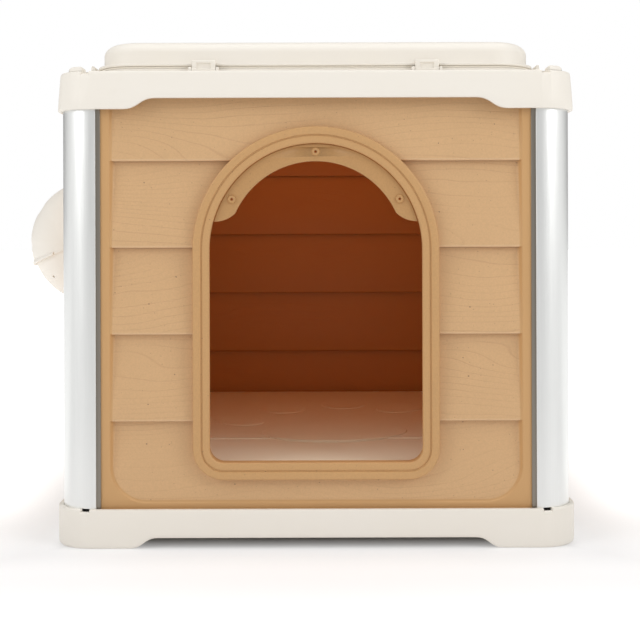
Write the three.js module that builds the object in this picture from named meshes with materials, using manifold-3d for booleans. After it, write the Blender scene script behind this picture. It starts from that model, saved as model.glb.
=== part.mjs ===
// A moulded dog house: ivory base and roof frame, four aluminium corner posts, lap-board wall
// panels, an arched doorway, a lid that opens on rear hinges, and a vent with a shutter on the
// left wall. Millimetres, +Z up, the doorway faces -Y, the origin is on the ground at the centre.

import * as THREE from 'three';
import { mergeVertices } from 'three/addons/utils/BufferGeometryUtils.js';
import Module from 'manifold-3d';

const wasm = await Module();
wasm.setup();

// ---- Clearances -------------------------------------------------------------------------
const gap = 0.3; // between pieces that touch
const pinGap = 0.35; // all round a pin or screw in its hole

// ---- Plan of the house ------------------------------------------------------------------
const postSpanX = 704; // over the outer faces of the posts, left to right
const postSpanY = 844; // over the outer faces of the posts, front to back
const skirtWall = 6.6; // wall of the base rim and of the roof skirt, outside the posts

// ---- Heights above the ground -----------------------------------------------------------
const deckTop = 47;
const baseTop = 53;
const floorTop = 108;
const roofTop = 649;

// ---- Corner posts: an aluminium extrusion with a panel slot in each arm -----------------
const postRadius = 46;
const postArm = 52; // length of an arm's outer face
const postWall = 2;
const lipSetback = 3.5; // the slot's outer lip lies behind the outer face
const lipReach = 6; // how far the lips stand out past the arm
const slotDepth = 10.5;
const portInset = 17.5; // screw port, from both outer faces
const portRadius = 5.5;

// ---- Wall panels ------------------------------------------------------------------------
const tongueThick = 8; // panel edge that slides into a post's slot
const boardRecess = 11; // how deep the top of a board lies behind its bottom edge
const boardLip = 0.5; // a board's bottom edge behind the panel's face
const boardBackBottom = 20; // inside the house, the depth of a board's lower edge
const boardBackTop = 13; // and of its upper edge
const boardPitch = 118.7;
const firstStep = 170.5; // height of the lowest step between two boards
const boardCount = 5;
const boardLap = 18; // the steps inside the house are this much higher
const boardInset = 70; // from the post's outer face to the boards
const boardDraft = 6; // the sides of the recess slope by this much
const boardBottom = 59.7;
const boardCorner = 50;
const boardTopDrop = 15; // from the roof's top down to where the boards end
const boardRim = 4; // inside the house the boards reach this far past the recess

// ---- Doorway ----------------------------------------------------------------------------
const doorHalfWidth = 168; // over the trim
const doorBottom = 92;
const doorArchZ = 405; // centre of the arch
const doorCorner = 42;
const trimOuterBand = 12;
const trimWidth = 23.3;
const trimGroove = 1.6;
const trimGrooveDepth = 3;
const trimProud = 9;
const trimBandStep = 1.5; // the inner band lies behind the outer band
const trimSeatDepth = 12; // depth of the trim's seat behind the panel's face
const trimSleeve = 6.3; // wall of the sleeve that lines the doorway
const trimSleeveEnd = 24;
const doorBossWidth = 14;
const doorBossDepth = 22;

// ---- Plate for a door flap, in the top of the arch --------------------------------------
const flapPlateWidth = 24.2; // inwards from the inside of the trim
const flapPlateThick = 4;
const flapPlateSetback = -2; // its face stands 2 in front of the panel's face
const flapPlateRise = 38.4; // its lower ends above the centre of the arch
const flapLobeRadius = 39;
const flapLobeInset = 7.3; // from the inside of the trim to the centre of a lobe's circle
const flapBossInset = 11.2; // from the inside of the trim
const flapBossAngles = [31, 90, 149];
const flapBossRadius = 5.5;
const flapBossHeight = 3;
const flapHoleRadius = 1.7;

// ---- Base -------------------------------------------------------------------------------
const deckThick = 4;
const underWall = 4; // above the rounded foot of the skirt
const footRound = 3; // the skirt's lower edge is drawn in by this much
const footRoundHeight = 6;
const baseEdge = 2; // bevel of the rim's upper edge
const baseArchRise = 14;
const archShoulder = 105; // from the outer corner to where a foot starts to rise
const archRun = 38;
const ribThick = 4;
const ribFoot = 6; // the ribs end this far above the arches
const padSize = 50;
const drainWidth = 12;
const drainFromPost = 37.5; // from the post's outer face to the middle of a drain
const drainDepth = 3.5;
const drainReach = 12; // inwards from the rim's face
const weepDepth = 6; // the slot in a post's foot behind each drain goes through its wall

// ---- Floor board ------------------------------------------------------------------------
const floorGapX = 3.4; // to the side walls' innermost faces
const floorGapY = 3;
const floorThick = 4;
const floorWall = 3.5;
const floorCorner = 20;
const floorBandFront = -180; // the raised field ends at these two lines
const floorBandRear = 220;
const floorRelief = 1.5;
const floorFieldInset = 8; // the raised field ends this far from the board's sides
const pawPads = [ // centre x, centre y, half width, half length, turn in degrees
  [30, -120, 118, 92, 12],
  [-132, -2, 40, 60, 22],
  [-62, 138, 42, 62, 6],
  [52, 190, 42, 62, -8],
  [152, 138, 40, 60, -22],
];

// ---- Roof frame -------------------------------------------------------------------------
const roofThick = 5;
const roofSkirtDrop = 52.5; // at the corners
const roofArchRise = 14.9;
const roofShoulder = 97;
const roofRun = 44;
const roofDraft = 3.5;
const roofEdge = 3;
const railFromLid = 1.3; // from the lid's flange
const railWidth = 8;
const railHeight = 19;
const railShoulder = 10; // above this height both flanks lean in
const railTopWidth = 2.5;
const railTopInset = 1.5; // from the rail's outer face
const railSetback = 34; // its ends from the lid's front and rear walls
const capReachOut = 7.2; // from the screw under the cap to the cap's outer side
const capReachIn = 16.5; // and to its inner side
const capSizeY = 32;
const capHeight = 6.5;
const capCorner = 4;
const capBevel = 1.5;
const capSlope = 7.5; // how far the outer side leans in
const capSlopeStart = 4; // height at which it begins to
const capPocket = 3.9; // for the screw's head, open below
const capPocketGap = 0.5; // round the head
const capRound = 47; // its outer corner follows the roof's corner, about the same centre

// ---- Lid and its seat -------------------------------------------------------------------
const lidFromPostX = 47; // from the posts' outer faces to the lid's wall, at the sides
const lidFromPostY = 55; // and at the front and rear
const lidFlange = 8;
const lidFlangeThick = 4;
const lidRise = 13; // from the roof frame's top to the flange's underside
const lidWallRise = 20; // from the flange's underside to where the wall starts to round over
const lidWall = 4;
const lidCornerPlan = 54;
const lidRoundX = 24; // the rounded upper edge, across
const lidRoundZ = 17;
const lidCrown = 2.5;
const lidCrownRun = 16; // from the rounded edge in to the flat middle
const seatWidth = 17;
const seatInsideWall = 10; // the seat ring starts this far inside the lid's wall
const gasketInset = 1; // the gasket's two edges lie this far inwards of the seat's
const gasketThick = 2.7;

// ---- Lid hinges -------------------------------------------------------------------------
const hingeX = 170;
const hingeBehindLid = 13; // from the flange's edge to the hinge axis
const hingeRise = 3; // above the flange's underside
const hingePinRadius = 2.4;
const knuckleRadius = 6;
const knuckleWidth = 29;
const earThick = 5;
const earHalf = 7;
const sideGap = 0.8;

// ---- Lid latches ------------------------------------------------------------------------
const latchX = 155.5;
const latchWidth = 33;
const latchThick = 5.6;
const latchPivotY = 8; // in front of the lid's flange
const latchPivotRise = 6; // above the roof frame
const latchHeight = 13.5; // above its pivot
const latchNoseThick = 3;
const latchNoseGap = 0.4;
const latchBarrel = 3.6;
const latchPinRadius = 1.5;
const latchLug = 4;
const latchLugHeight = 10;
const latchLugHalf = 5;
const latchDish = 1.6;
const latchDishEdge = 6; // frame round the dished middle, at the sides
const latchDishTop = 4; // and at the top
const latchBevel = 1.5;

// ---- Vent on the left wall --------------------------------------------------------------
const ventZ = 414;
const ventReach = 32.8; // from the panel's face to the centre of the dome
const hoodRadius = 105.3;
const hoodWall = 2;
const shutterGap = 0.8;
const shutterWall = 2;
const hoodSeamAngle = -21.8; // degrees above level, seen from the pivot
const shutterLap = 5; // degrees of shutter hidden under the hood
const hoodLip = 3.5;
const hoodLipAngle = 4;
const hoodLipShort = 14; // the lip stops this far from the pivot's ends
const collarWall = 4;
const collarFlange = 10.7;
const collarFlangeThick = 4;
const ventBore = 78;
const spigotWall = 3.7;
const ventBossRadius = 118;
const clampWidth = 14;
const clampThick = 4;
const ventScrewCircle = 89.5;
const spigotEnd = 3; // past the clamp ring
const pivotEar = 14.5;
const shutterEar = 12;
const ventPinRadius = 2.6;
const ventPinHead = 5;
const ventPinHeadThick = 2;
const ventHoleRadius = 2.5;
const ventHoleDrop = 57;
const ventHoleAngles = [-49, -13, 13, 49];

// ---- Screws -----------------------------------------------------------------------------
const screwRadius = 2.4;
const screwHeadRadius = 5;
const screwHeadHeight = 3.2;
const screwLength = 24;
const screwHeadBevel = 1.5;

// ---- How finely round shapes are divided ------------------------------------------------
const cornerSteps = 6; // along a quarter turn
const roundSides = 32; // large round openings and rings
const pinSides = 10;
const pawSides = 20;
const domeRows = 16; // from one pivot to the other
const lidRoundSteps = 4;

// ---- Values worked out from the ones above ----------------------------------------------
const postX = postSpanX / 2;
const postY = postSpanY / 2;
const outerX = postX + gap + skirtWall;
const outerY = postY + gap + skirtWall;
const postBottom = deckTop + gap;
const postTop = roofTop - roofThick - gap;
const slotWidth = tongueThick + 2 * gap;
const slotStart = lipSetback + postWall;
const slotBottom = postArm + lipReach - slotDepth;
const panelFace = slotStart + gap; // behind the posts' outer faces
const lidX = postX - lidFromPostX;
const lidY = postY - lidFromPostY;
const lidFrontEdge = lidY + lidFlange;
const doorSleeveInset = trimWidth - trimSleeve;
const doorwayHalf = doorHalfWidth - trimWidth;
const flapPlateInner = doorwayHalf - flapPlateWidth;
const flapLobeX = doorwayHalf - flapLobeInset;
const flapBossCircle = doorwayHalf - flapBossInset;
const boardTop = roofTop - boardTopDrop;
const lidFlangeZ = roofTop + lidRise;
const hingeY = lidFrontEdge + hingeBehindLid;
const hingeZ = lidFlangeZ + hingeRise;
const latchPivotZ = roofTop + latchPivotRise;
const latchTopZ = latchPivotZ + latchHeight;

// ---- Making and joining solids ----------------------------------------------------------
const rad = THREE.MathUtils.degToRad;
const deg = THREE.MathUtils.radToDeg;

function signedVolume(points, triangles) {
  const a = new THREE.Vector3();
  const b = new THREE.Vector3();
  const c = new THREE.Vector3();
  let sum = 0;
  for (let i = 0; i < triangles.length; i += 3) {
    a.fromArray(points, 3 * triangles[i]);
    b.fromArray(points, 3 * triangles[i + 1]);
    c.fromArray(points, 3 * triangles[i + 2]);
    sum += a.dot(b.cross(c));
  }
  return sum / 6;
}

function solid(geometry) {
  const bare = geometry.clone();
  bare.deleteAttribute('normal');
  bare.deleteAttribute('uv');
  const merged = mergeVertices(bare, 1e-4);
  const points = merged.attributes.position.array;
  const triangles = [];
  const index = merged.index.array;
  for (let i = 0; i < index.length; i += 3) {
    const [a, b, c] = [index[i], index[i + 1], index[i + 2]];
    if (a !== b && b !== c && c !== a) triangles.push(a, b, c);
  }
  if (signedVolume(points, triangles) < 0) triangles.reverse();
  return new wasm.Manifold(new wasm.Mesh({
    numProp: 3,
    vertProperties: new Float32Array(points),
    triVerts: new Uint32Array(triangles),
  }));
}

function join(first, ...rest) {
  return rest.reduce((whole, piece) => whole.add(piece), first);
}

function cut(first, ...rest) {
  return rest.reduce((whole, piece) => whole.subtract(piece), first);
}

function box(x0, x1, y0, y1, z0, z1) {
  const geometry = new THREE.BoxGeometry(x1 - x0, y1 - y0, z1 - z0);
  geometry.translate((x0 + x1) / 2, (y0 + y1) / 2, (z0 + z1) / 2);
  return solid(geometry);
}

// A prism whose outline is drawn in (y, z), (x, z) or (x, y) and runs along x, y or z.
function prism(shape, axis, from, to) {
  const geometry = new THREE.ExtrudeGeometry(shape, {
    depth: to - from,
    bevelEnabled: false,
    curveSegments: cornerSteps,
  });
  geometry.translate(0, 0, axis === 'y' ? -to : from);
  const turn = new THREE.Matrix4();
  if (axis === 'x') {
    turn.makeBasis(new THREE.Vector3(0, 1, 0), new THREE.Vector3(0, 0, 1), new THREE.Vector3(1, 0, 0));
  } else if (axis === 'y') {
    turn.makeBasis(new THREE.Vector3(1, 0, 0), new THREE.Vector3(0, 0, 1), new THREE.Vector3(0, -1, 0));
  }
  return solid(geometry.applyMatrix4(turn));
}

function arc(cx, cy, radius, from, to, steps) {
  const points = [];
  for (let i = 0; i <= steps; i++) {
    const angle = rad(from + ((to - from) * i) / steps);
    points.push(new THREE.Vector2(cx + radius * Math.cos(angle), cy + radius * Math.sin(angle)));
  }
  return points;
}

// A round bar along x, y or z; u and v are its centre in the other two coordinates.
function bar(axis, radius, from, to, u, v, sides = pinSides) {
  return prism(new THREE.Shape(arc(u, v, radius, 0, 360 - 360 / sides, sides - 1)), axis, from, to);
}

function roundedRect(halfX, halfY, radius, steps = cornerSteps) {
  const x = halfX - radius;
  const y = halfY - radius;
  return [
    ...arc(x, y, radius, 0, 90, steps),
    ...arc(-x, y, radius, 90, 180, steps),
    ...arc(-x, -y, radius, 180, 270, steps),
    ...arc(x, -y, radius, 270, 360, steps),
  ];
}

// A solid through a pile of convex outlines with the same number of points.
function stack(rings) {
  const count = rings[0].outline.length;
  const points = [];
  const index = [];
  rings.forEach(({ outline, z }) => outline.forEach((p) => points.push(p.x, p.y, z)));
  for (let level = 0; level < rings.length - 1; level++) {
    for (let i = 0; i < count; i++) {
      const a = level * count + i;
      const b = level * count + ((i + 1) % count);
      index.push(a, b, b + count, a, b + count, a + count);
    }
  }
  [0, rings.length - 1].forEach((level) => {
    const { outline, z } = rings[level];
    const middle = outline.reduce((sum, p) => sum.add(p), new THREE.Vector2());
    points.push(middle.x / count, middle.y / count, z);
    const centre = points.length / 3 - 1;
    for (let i = 0; i < count; i++) {
      const a = level * count + i;
      const b = level * count + ((i + 1) % count);
      index.push(...(level === 0 ? [centre, b, a] : [centre, a, b]));
    }
  });
  const geometry = new THREE.BufferGeometry();
  geometry.setAttribute('position', new THREE.Float32BufferAttribute(points, 3));
  geometry.setIndex(index);
  return solid(geometry);
}

function slab(halfX, halfY, radius, z0, z1) {
  const outline = roundedRect(halfX, halfY, radius);
  return stack([{ outline, z: z0 }, { outline, z: z1 }]);
}

// A turned piece; the profile is a list of [radius, distance along the axis] pairs.
function turned(profile, axis, sides = pinSides) {
  const outline = profile.map(([radius, along]) => new THREE.Vector2(radius, along));
  const geometry = new THREE.LatheGeometry(outline, sides);
  if (axis === 'x') geometry.rotateZ(-Math.PI / 2);
  if (axis === 'z') geometry.rotateX(Math.PI / 2);
  return solid(geometry);
}

// ---- Materials --------------------------------------------------------------------------
function material(color, roughness, metalness = 0) {
  return new THREE.MeshStandardMaterial({ color, roughness, metalness, flatShading: true });
}
const ivory = material(0xf1eada, 0.45);
const tan = material(0xc99a66, 0.6);
const aluminium = material(0xb9bdbf, 0.35, 0.9);
const steel = material(0x8f9092, 0.4, 0.9);
const seal = material(0xd9d0bd, 0.8);

const house = new THREE.Group();

function addPiece(name, shape, finish, parent = house) {
  const { vertProperties, triVerts } = shape.getMesh();
  const geometry = new THREE.BufferGeometry();
  geometry.setAttribute('position', new THREE.BufferAttribute(vertProperties, 3));
  geometry.setIndex(new THREE.BufferAttribute(triVerts, 1));
  const mesh = new THREE.Mesh(geometry, finish);
  mesh.name = name;
  parent.add(mesh);
  return mesh;
}

const corners = [
  { name: 'front_left', x: -1, y: -1, turn: 0 },
  { name: 'front_right', x: 1, y: -1, turn: 90 },
  { name: 'rear_right', x: 1, y: 1, turn: 180 },
  { name: 'rear_left', x: -1, y: 1, turn: -90 },
];

// ---- Skirts with feet: the wavy lower edge that the base and the roof frame share -------
function edgeCut(halfSpan, shoulder, run, edgeZ, rise) {
  const outer = halfSpan - shoulder;
  const inner = outer - run;
  const low = edgeZ - 20;
  const top = edgeZ + rise;
  const shape = new THREE.Shape();
  shape.moveTo(-outer, low);
  shape.lineTo(outer, low);
  shape.lineTo(outer, edgeZ);
  shape.bezierCurveTo(outer - run / 2, edgeZ, inner + run / 2, top, inner, top);
  shape.lineTo(-inner, top);
  shape.bezierCurveTo(-inner - run / 2, top, -outer + run / 2, edgeZ, -outer, edgeZ);
  return shape;
}

function cutEdges(skirt, shoulder, run, edgeZ, rise) {
  const frontRear = prism(edgeCut(outerX, shoulder, run, edgeZ, rise), 'y', -2 * outerY, 2 * outerY);
  const sides = prism(edgeCut(outerY, shoulder, run, edgeZ, rise), 'x', -2 * outerX, 2 * outerX);
  return cut(skirt, frontRear, sides);
}

function drains(z0, z1) {
  const x = postX - drainFromPost;
  return [-x, x].flatMap((middle) => [-1, 1].map((side) => {
    const y = side * outerY;
    return box(
      middle - drainWidth / 2, middle + drainWidth / 2, y - drainReach, y + drainReach, z0, z1,
    );
  }));
}

// Clearance holes for the screws that run up or down into the posts' screw ports.
function portHoles(z0, z1) {
  return corners.map(({ x, y }) => bar(
    'z', screwRadius + pinGap, z0, z1, x * (postX - portInset), y * (postY - portInset),
  ));
}

function baseTray() {
  const corner = postRadius + skirtWall;
  const block = stack([
    { outline: roundedRect(outerX - footRound, outerY - footRound, corner - footRound), z: 0 },
    {
      outline: roundedRect(outerX - footRound / 3, outerY - footRound / 3, corner - footRound / 3),
      z: 0.3 * footRoundHeight,
    },
    { outline: roundedRect(outerX, outerY, corner), z: footRoundHeight },
    { outline: roundedRect(outerX, outerY, corner), z: baseTop - baseEdge },
    { outline: roundedRect(outerX - baseEdge, outerY - baseEdge, corner - baseEdge), z: baseTop },
  ]);
  const inset = footRound + underWall;
  const under = slab(outerX - inset, outerY - inset, corner - inset, -1, deckTop - deckThick);
  const above = slab(postX + gap, postY + gap, postRadius + gap, deckTop, baseTop + 1);
  const skirt = cutEdges(cut(block, under, above), archShoulder, archRun, 0, baseArchRise);
  const reachX = outerX - inset + 1;
  const reachY = outerY - inset + 1;
  const ribTop = deckTop - deckThick + 1;
  const ribBottom = baseArchRise + ribFoot;
  const tray = join(
    skirt,
    box(-reachX, reachX, -ribThick / 2, ribThick / 2, ribBottom, ribTop),
    box(-ribThick / 2, ribThick / 2, -reachY, reachY, ribBottom, ribTop),
    box(-padSize / 2, padSize / 2, -padSize / 2, padSize / 2, 0, ribTop),
  );
  const holes = portHoles(deckTop - 2 * deckThick, deckTop + 1);
  return cut(tray, ...holes, ...drains(baseTop - drainDepth, baseTop + 5));
}

function floorBoard() {
  const wallX = postX - panelFace - boardBackBottom;
  const wallY = postY - panelFace - trimSleeveEnd;
  const halfX = wallX - floorGapX;
  const halfY = wallY - floorGapY;
  const outer = slab(halfX, halfY, floorCorner, deckTop + gap, floorTop - floorRelief);
  const under = slab(
    halfX - floorWall, halfY - floorWall, floorCorner - floorWall,
    deckTop, floorTop - floorThick - floorRelief,
  );
  const fieldX = halfX - floorFieldInset;
  const fieldBottom = floorTop - 2 * floorRelief;
  const field = box(-fieldX, fieldX, floorBandFront, floorBandRear, fieldBottom, floorTop);
  const ribTop = floorTop - floorThick;
  const ribX = halfX - floorWall / 2;
  const ribY = halfY - floorWall / 2;
  const ribs = [
    box(-ribX, ribX, -ribThick / 2, ribThick / 2, deckTop + gap, ribTop),
    box(-ribThick / 2, ribThick / 2, -ribY, ribY, deckTop + gap, ribTop),
  ];
  const pads = pawPads.map(([x, y, a, b, turn]) => {
    const ellipse = new THREE.EllipseCurve(x, y, a, b, 0, 2 * Math.PI, false, rad(turn));
    const outline = new THREE.Shape(ellipse.getPoints(pawSides).slice(0, -1));
    return prism(outline, 'z', fieldBottom, floorTop + floorRelief);
  });
  return join(outer.subtract(under), field, ...ribs, ...pads);
}

// ---- Posts ------------------------------------------------------------------------------
// Drawn with its outer corner at (0, 0) and its arms along +x and +y.
function cornerPost() {
  const lipEnd = postArm + lipReach;
  const slotEnd = slotStart + slotWidth;
  const inner = slotEnd + postWall;
  const half = [
    [postArm, 0], [postArm, lipSetback], [lipEnd, lipSetback], [lipEnd, slotStart],
    [slotBottom, slotStart], [slotBottom, slotEnd], [lipEnd, slotEnd], [lipEnd, inner], [slotBottom, inner],
  ].map(([x, y]) => new THREE.Vector2(x, y));
  const mirrored = half.map((p) => new THREE.Vector2(p.y, p.x)).reverse();
  const outline = [...half, ...mirrored, ...arc(postRadius, postRadius, postRadius, 180, 270, cornerSteps)];
  const coreEnd = slotBottom - postWall;
  const coreSide = inner - postWall * (Math.SQRT2 - 1); // the slanted wall is as thick as the others
  const arcTrim = 2; // degrees left off each end of the core's arc
  const core = [
    ...arc(postRadius, postRadius, postRadius - postWall, 180 + arcTrim, 270 - arcTrim, cornerSteps),
    new THREE.Vector2(coreEnd, postWall),
    new THREE.Vector2(coreEnd, coreSide),
    new THREE.Vector2(coreSide, coreEnd),
    new THREE.Vector2(postWall, coreEnd),
  ];
  const tube = cut(
    prism(new THREE.Shape(outline), 'z', postBottom, postTop),
    prism(new THREE.Shape(core), 'z', postBottom - 1, postTop + 1),
  );
  const port = bar('z', portRadius, postBottom, postTop, portInset, portInset);
  const hole = bar('z', screwRadius + pinGap, postBottom - 1, postTop + 1, portInset, portInset);
  const near = drainFromPost - drainWidth / 2;
  const far = drainFromPost + drainWidth / 2;
  return cut(
    tube.add(port), hole,
    box(near, far, -1, weepDepth, postBottom - 1, baseTop),
    box(-1, weepDepth, near, far, postBottom - 1, baseTop),
  );
}

// ---- Panels -----------------------------------------------------------------------------
// Drawn with the outer face in the plane y = 0, the inside of the house at +y.
const boardSteps = Array.from({ length: boardCount - 1 }, (_, i) => firstStep + i * boardPitch);

// The boards' face between two heights, each board slanting from one depth at its lower edge
// to another at its upper edge.
function sawPoints(z0, z1, lap, lowerEdge, upperEdge) {
  const depth = (z) => {
    const along = (z - lap - firstStep) / boardPitch;
    return lowerEdge + (upperEdge - lowerEdge) * (along - Math.floor(along));
  };
  const points = [[depth(z0), z0]];
  boardSteps.map((z) => z + lap).filter((z) => z > z0 && z < z1).forEach((z) => {
    points.push([upperEdge, z], [lowerEdge, z]);
  });
  points.push([depth(z1), z1]);
  return points.map(([y, z]) => new THREE.Vector2(y, z));
}

function boardWindow(half, depth) {
  const ring = (x, y) => {
    const r = boardCorner;
    return {
      outline: [
        ...arc(-x + r, boardBottom + r, r, 180, 270, cornerSteps),
        ...arc(x - r, boardBottom + r, r, 270, 360, cornerSteps),
        new THREE.Vector2(x, boardTop),
        new THREE.Vector2(-x, boardTop),
      ],
      z: -y,
    };
  };
  const slope = boardDraft / boardRecess;
  const rings = [ring(half - slope * depth, depth), ring(half + slope, -1)];
  return stack(rings).rotate([90, 0, 0]);
}

function lapPanel(postHalf) {
  const half = postHalf - slotBottom - gap;
  const boardHalf = postHalf - boardInset;
  const bottom = deckTop + gap;
  const plate = box(-half, half, 0, tongueThick, bottom, postTop);
  const back = new THREE.Shape([
    new THREE.Vector2(0, bottom),
    ...sawPoints(bottom, postTop, boardLap, boardBackBottom, boardBackTop),
    new THREE.Vector2(0, postTop),
  ]);
  const front = new THREE.Shape([
    new THREE.Vector2(-5, bottom),
    ...sawPoints(bottom, postTop, 0, boardLip, boardRecess),
    new THREE.Vector2(-5, postTop),
  ]);
  const backHalf = boardHalf + boardRim;
  const body = plate.add(prism(back, 'x', -backHalf, backHalf));
  const recess = boardWindow(boardHalf, boardBackBottom).intersect(prism(front, 'x', -backHalf, backHalf));
  return body.subtract(recess);
}

// The doorway's outline, drawn in (x, z), inset from the outside of its trim.
function doorOutline(inset) {
  const half = doorHalfWidth - inset;
  const bottom = doorBottom + inset;
  const r = doorCorner - inset;
  return [
    ...arc(-half + r, bottom + r, r, 180, 270, cornerSteps),
    ...arc(half - r, bottom + r, r, 270, 360, cornerSteps),
    ...arc(0, doorArchZ, half, 0, 180, 4 * cornerSteps),
  ];
}

function doorBlock(inset, from, to) {
  return prism(new THREE.Shape(doorOutline(inset)), 'y', from, to);
}

function frontPanel() {
  const boss = doorBlock(-doorBossWidth, boardRecess, doorBossDepth);
  return cut(
    lapPanel(postX).add(boss),
    doorBlock(-gap, -5, trimSeatDepth + gap),
    doorBlock(doorSleeveInset - gap, -5, trimSleeveEnd),
  );
}

function leftPanel() {
  const boss = bar('y', ventBossRadius, 0, boardBackBottom, 0, ventZ, roundSides);
  const bore = bar('y', ventBore + spigotWall + gap, -5, boardBackBottom + 5, 0, ventZ, roundSides);
  const screws = ventScrewPlaces.map(([across, z]) => bar(
    'y', screwRadius + pinGap, -5, boardBackBottom + 5, across, z,
  ));
  return cut(lapPanel(postY).add(boss), bore, ...screws);
}

function doorTrim() {
  const grooveInset = trimOuterBand - trimGroove / 2;
  const bandFace = trimBandStep - trimProud;
  return cut(
    join(doorBlock(0, -trimProud, trimSeatDepth), doorBlock(doorSleeveInset, 0, trimSleeveEnd)),
    cut(
      doorBlock(grooveInset, -trimProud - 5, trimGrooveDepth - trimProud),
      doorBlock(grooveInset + trimGroove, -20, 0),
    ),
    doorBlock(grooveInset + trimGroove, -trimProud - 5, bandFace),
    doorBlock(trimWidth, -20, trimSleeveEnd + 5),
  );
}

function flapPlate() {
  const beyond = doorHalfWidth; // cut back below to the inside of the trim
  const outerAngle = deg(Math.asin(flapPlateRise / beyond));
  const lobeZ = doorArchZ + flapPlateRise + flapLobeRadius;
  // Where a lobe's circle crosses the circle of the plate's inner edge.
  const toLobe = Math.hypot(flapLobeX, lobeZ - doorArchZ);
  const lobeDirection = deg(Math.atan2(lobeZ - doorArchZ, flapLobeX));
  const along = (flapPlateInner ** 2 - flapLobeRadius ** 2 + toLobe ** 2) / (2 * toLobe);
  const meetAngle = lobeDirection - deg(Math.acos(along / flapPlateInner));
  const meetX = flapPlateInner * Math.cos(rad(meetAngle));
  const meetZ = doorArchZ + flapPlateInner * Math.sin(rad(meetAngle));
  const lobeStart = deg(Math.atan2(meetZ - lobeZ, flapLobeX - meetX));
  const shape = new THREE.Shape([
    ...arc(0, doorArchZ, beyond, outerAngle, 180 - outerAngle, 8),
    ...arc(-flapLobeX, lobeZ, flapLobeRadius, 270, 360 + lobeStart, 5),
    ...arc(0, doorArchZ, flapPlateInner, 180 - meetAngle, meetAngle, 3 * cornerSteps).slice(1, -1),
    ...arc(flapLobeX, lobeZ, flapLobeRadius, 180 - lobeStart, 270, 5),
  ]);
  const places = flapBossAngles.map((angle) => [
    flapBossCircle * Math.cos(rad(angle)), doorArchZ + flapBossCircle * Math.sin(rad(angle)),
  ]);
  const back = flapPlateSetback + flapPlateThick;
  const bossTop = flapPlateSetback - flapBossHeight;
  const bosses = places.map(([x, z]) => bar('y', flapBossRadius, bossTop, back - 1, x, z));
  const holes = places.map(([x, z]) => bar('y', flapHoleRadius, bossTop - 1, back + 1, x, z));
  const plate = prism(shape, 'y', flapPlateSetback, back).intersect(doorBlock(trimWidth + gap, -20, 20));
  return cut(join(plate, ...bosses), ...holes);
}

// ---- Roof frame, lid, hinges and latches ------------------------------------------------
const latchY = -(lidFrontEdge + latchPivotY);
const sidesOfLid = [-1, 1];

// A block on the roof frame: from nearX outwards by width, and as far to both sides of middleY.
function standing(nearX, width, middleY, halfY, top) {
  const farX = nearX + width;
  return box(
    Math.min(nearX, farX), Math.max(nearX, farX), middleY - halfY, middleY + halfY, roofTop - 1, top,
  );
}

function roofFrame() {
  const corner = postRadius + skirtWall;
  const skirtZ = roofTop - roofSkirtDrop;
  const shrink = (inset, z) => ({ outline: roundedRect(outerX - inset, outerY - inset, corner - inset), z });
  const block = stack([
    shrink(0, skirtZ), shrink(roofDraft, roofTop - roofEdge), shrink(roofDraft + roofEdge, roofTop),
  ]);
  const under = slab(postX + gap, postY + gap, postRadius + gap, skirtZ - 1, roofTop - roofThick);
  const skirt = cutEdges(block.subtract(under), roofShoulder, roofRun, skirtZ, roofArchRise);
  const seatX = lidX - seatInsideWall + seatWidth;
  const seatY = lidY - seatInsideWall + seatWidth;
  const seatTop = lidFlangeZ - gasketThick - 2 * gap;
  const seatCorner = lidCornerPlan - seatInsideWall + seatWidth;
  const seat = slab(seatX, seatY, seatCorner, roofTop - 1, seatTop);
  const hatch = slab(seatX - seatWidth, seatY - seatWidth, seatCorner - seatWidth, roofTop - 20, seatTop + 1);
  const railX = lidX + lidFlange + railFromLid;
  const topEnd = railWidth - railTopInset;
  const railOutline = (side) => new THREE.Shape([
    [0, -1], [railWidth, -1], [railWidth, railShoulder], [topEnd, railHeight],
    [topEnd - railTopWidth, railHeight], [0, railShoulder],
  ].map(([x, z]) => new THREE.Vector2(side * (railX + x), roofTop + z)));
  const railEnd = lidY - railSetback;
  const rails = [-1, 1].map((side) => prism(railOutline(side), 'y', -railEnd, railEnd));
  const ears = sidesOfLid.flatMap((side) => [-1, 1].map((hand) => {
    const near = side * hingeX + hand * (knuckleWidth / 2 + sideGap);
    return standing(near, hand * earThick, hingeY, earHalf, hingeZ + earHalf);
  }));
  const lugs = sidesOfLid.flatMap((side) => [-1, 1].map((hand) => {
    const near = side * latchX + hand * (latchWidth / 2 + sideGap);
    return standing(near, hand * latchLug, latchY, latchLugHalf, roofTop + latchLugHeight);
  }));
  return cut(
    join(skirt, seat, ...rails, ...ears, ...lugs),
    hatch,
    bar('x', hingePinRadius + pinGap, -outerX, outerX, hingeY, hingeZ),
    bar('x', latchPinRadius + pinGap, -outerX, outerX, latchY, latchPivotZ),
    ...portHoles(roofTop - 2 * roofThick, roofTop + 1),
    ...drains(roofTop - drainDepth, roofTop + 5),
  );
}

function lidShell(inset, top) {
  const plan = (pull) => roundedRect(lidX - pull, lidY - pull, lidCornerPlan - Math.min(pull, lidRoundX));
  const rings = [{ outline: plan(inset), z: lidFlangeZ - (inset > 0 ? 1 : 0) }];
  for (let i = 0; i <= lidRoundSteps; i++) {
    const angle = rad((90 * i) / lidRoundSteps);
    const pull = inset + (lidRoundX - inset) * (1 - Math.cos(angle));
    rings.push({ outline: plan(pull), z: top - lidRoundZ + inset + (lidRoundZ - inset) * Math.sin(angle) });
  }
  rings.push({ outline: plan(lidRoundX + lidCrownRun), z: top + lidCrown });
  return stack(rings);
}

const lidTop = lidFlangeZ + lidWallRise + lidRoundZ;

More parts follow.
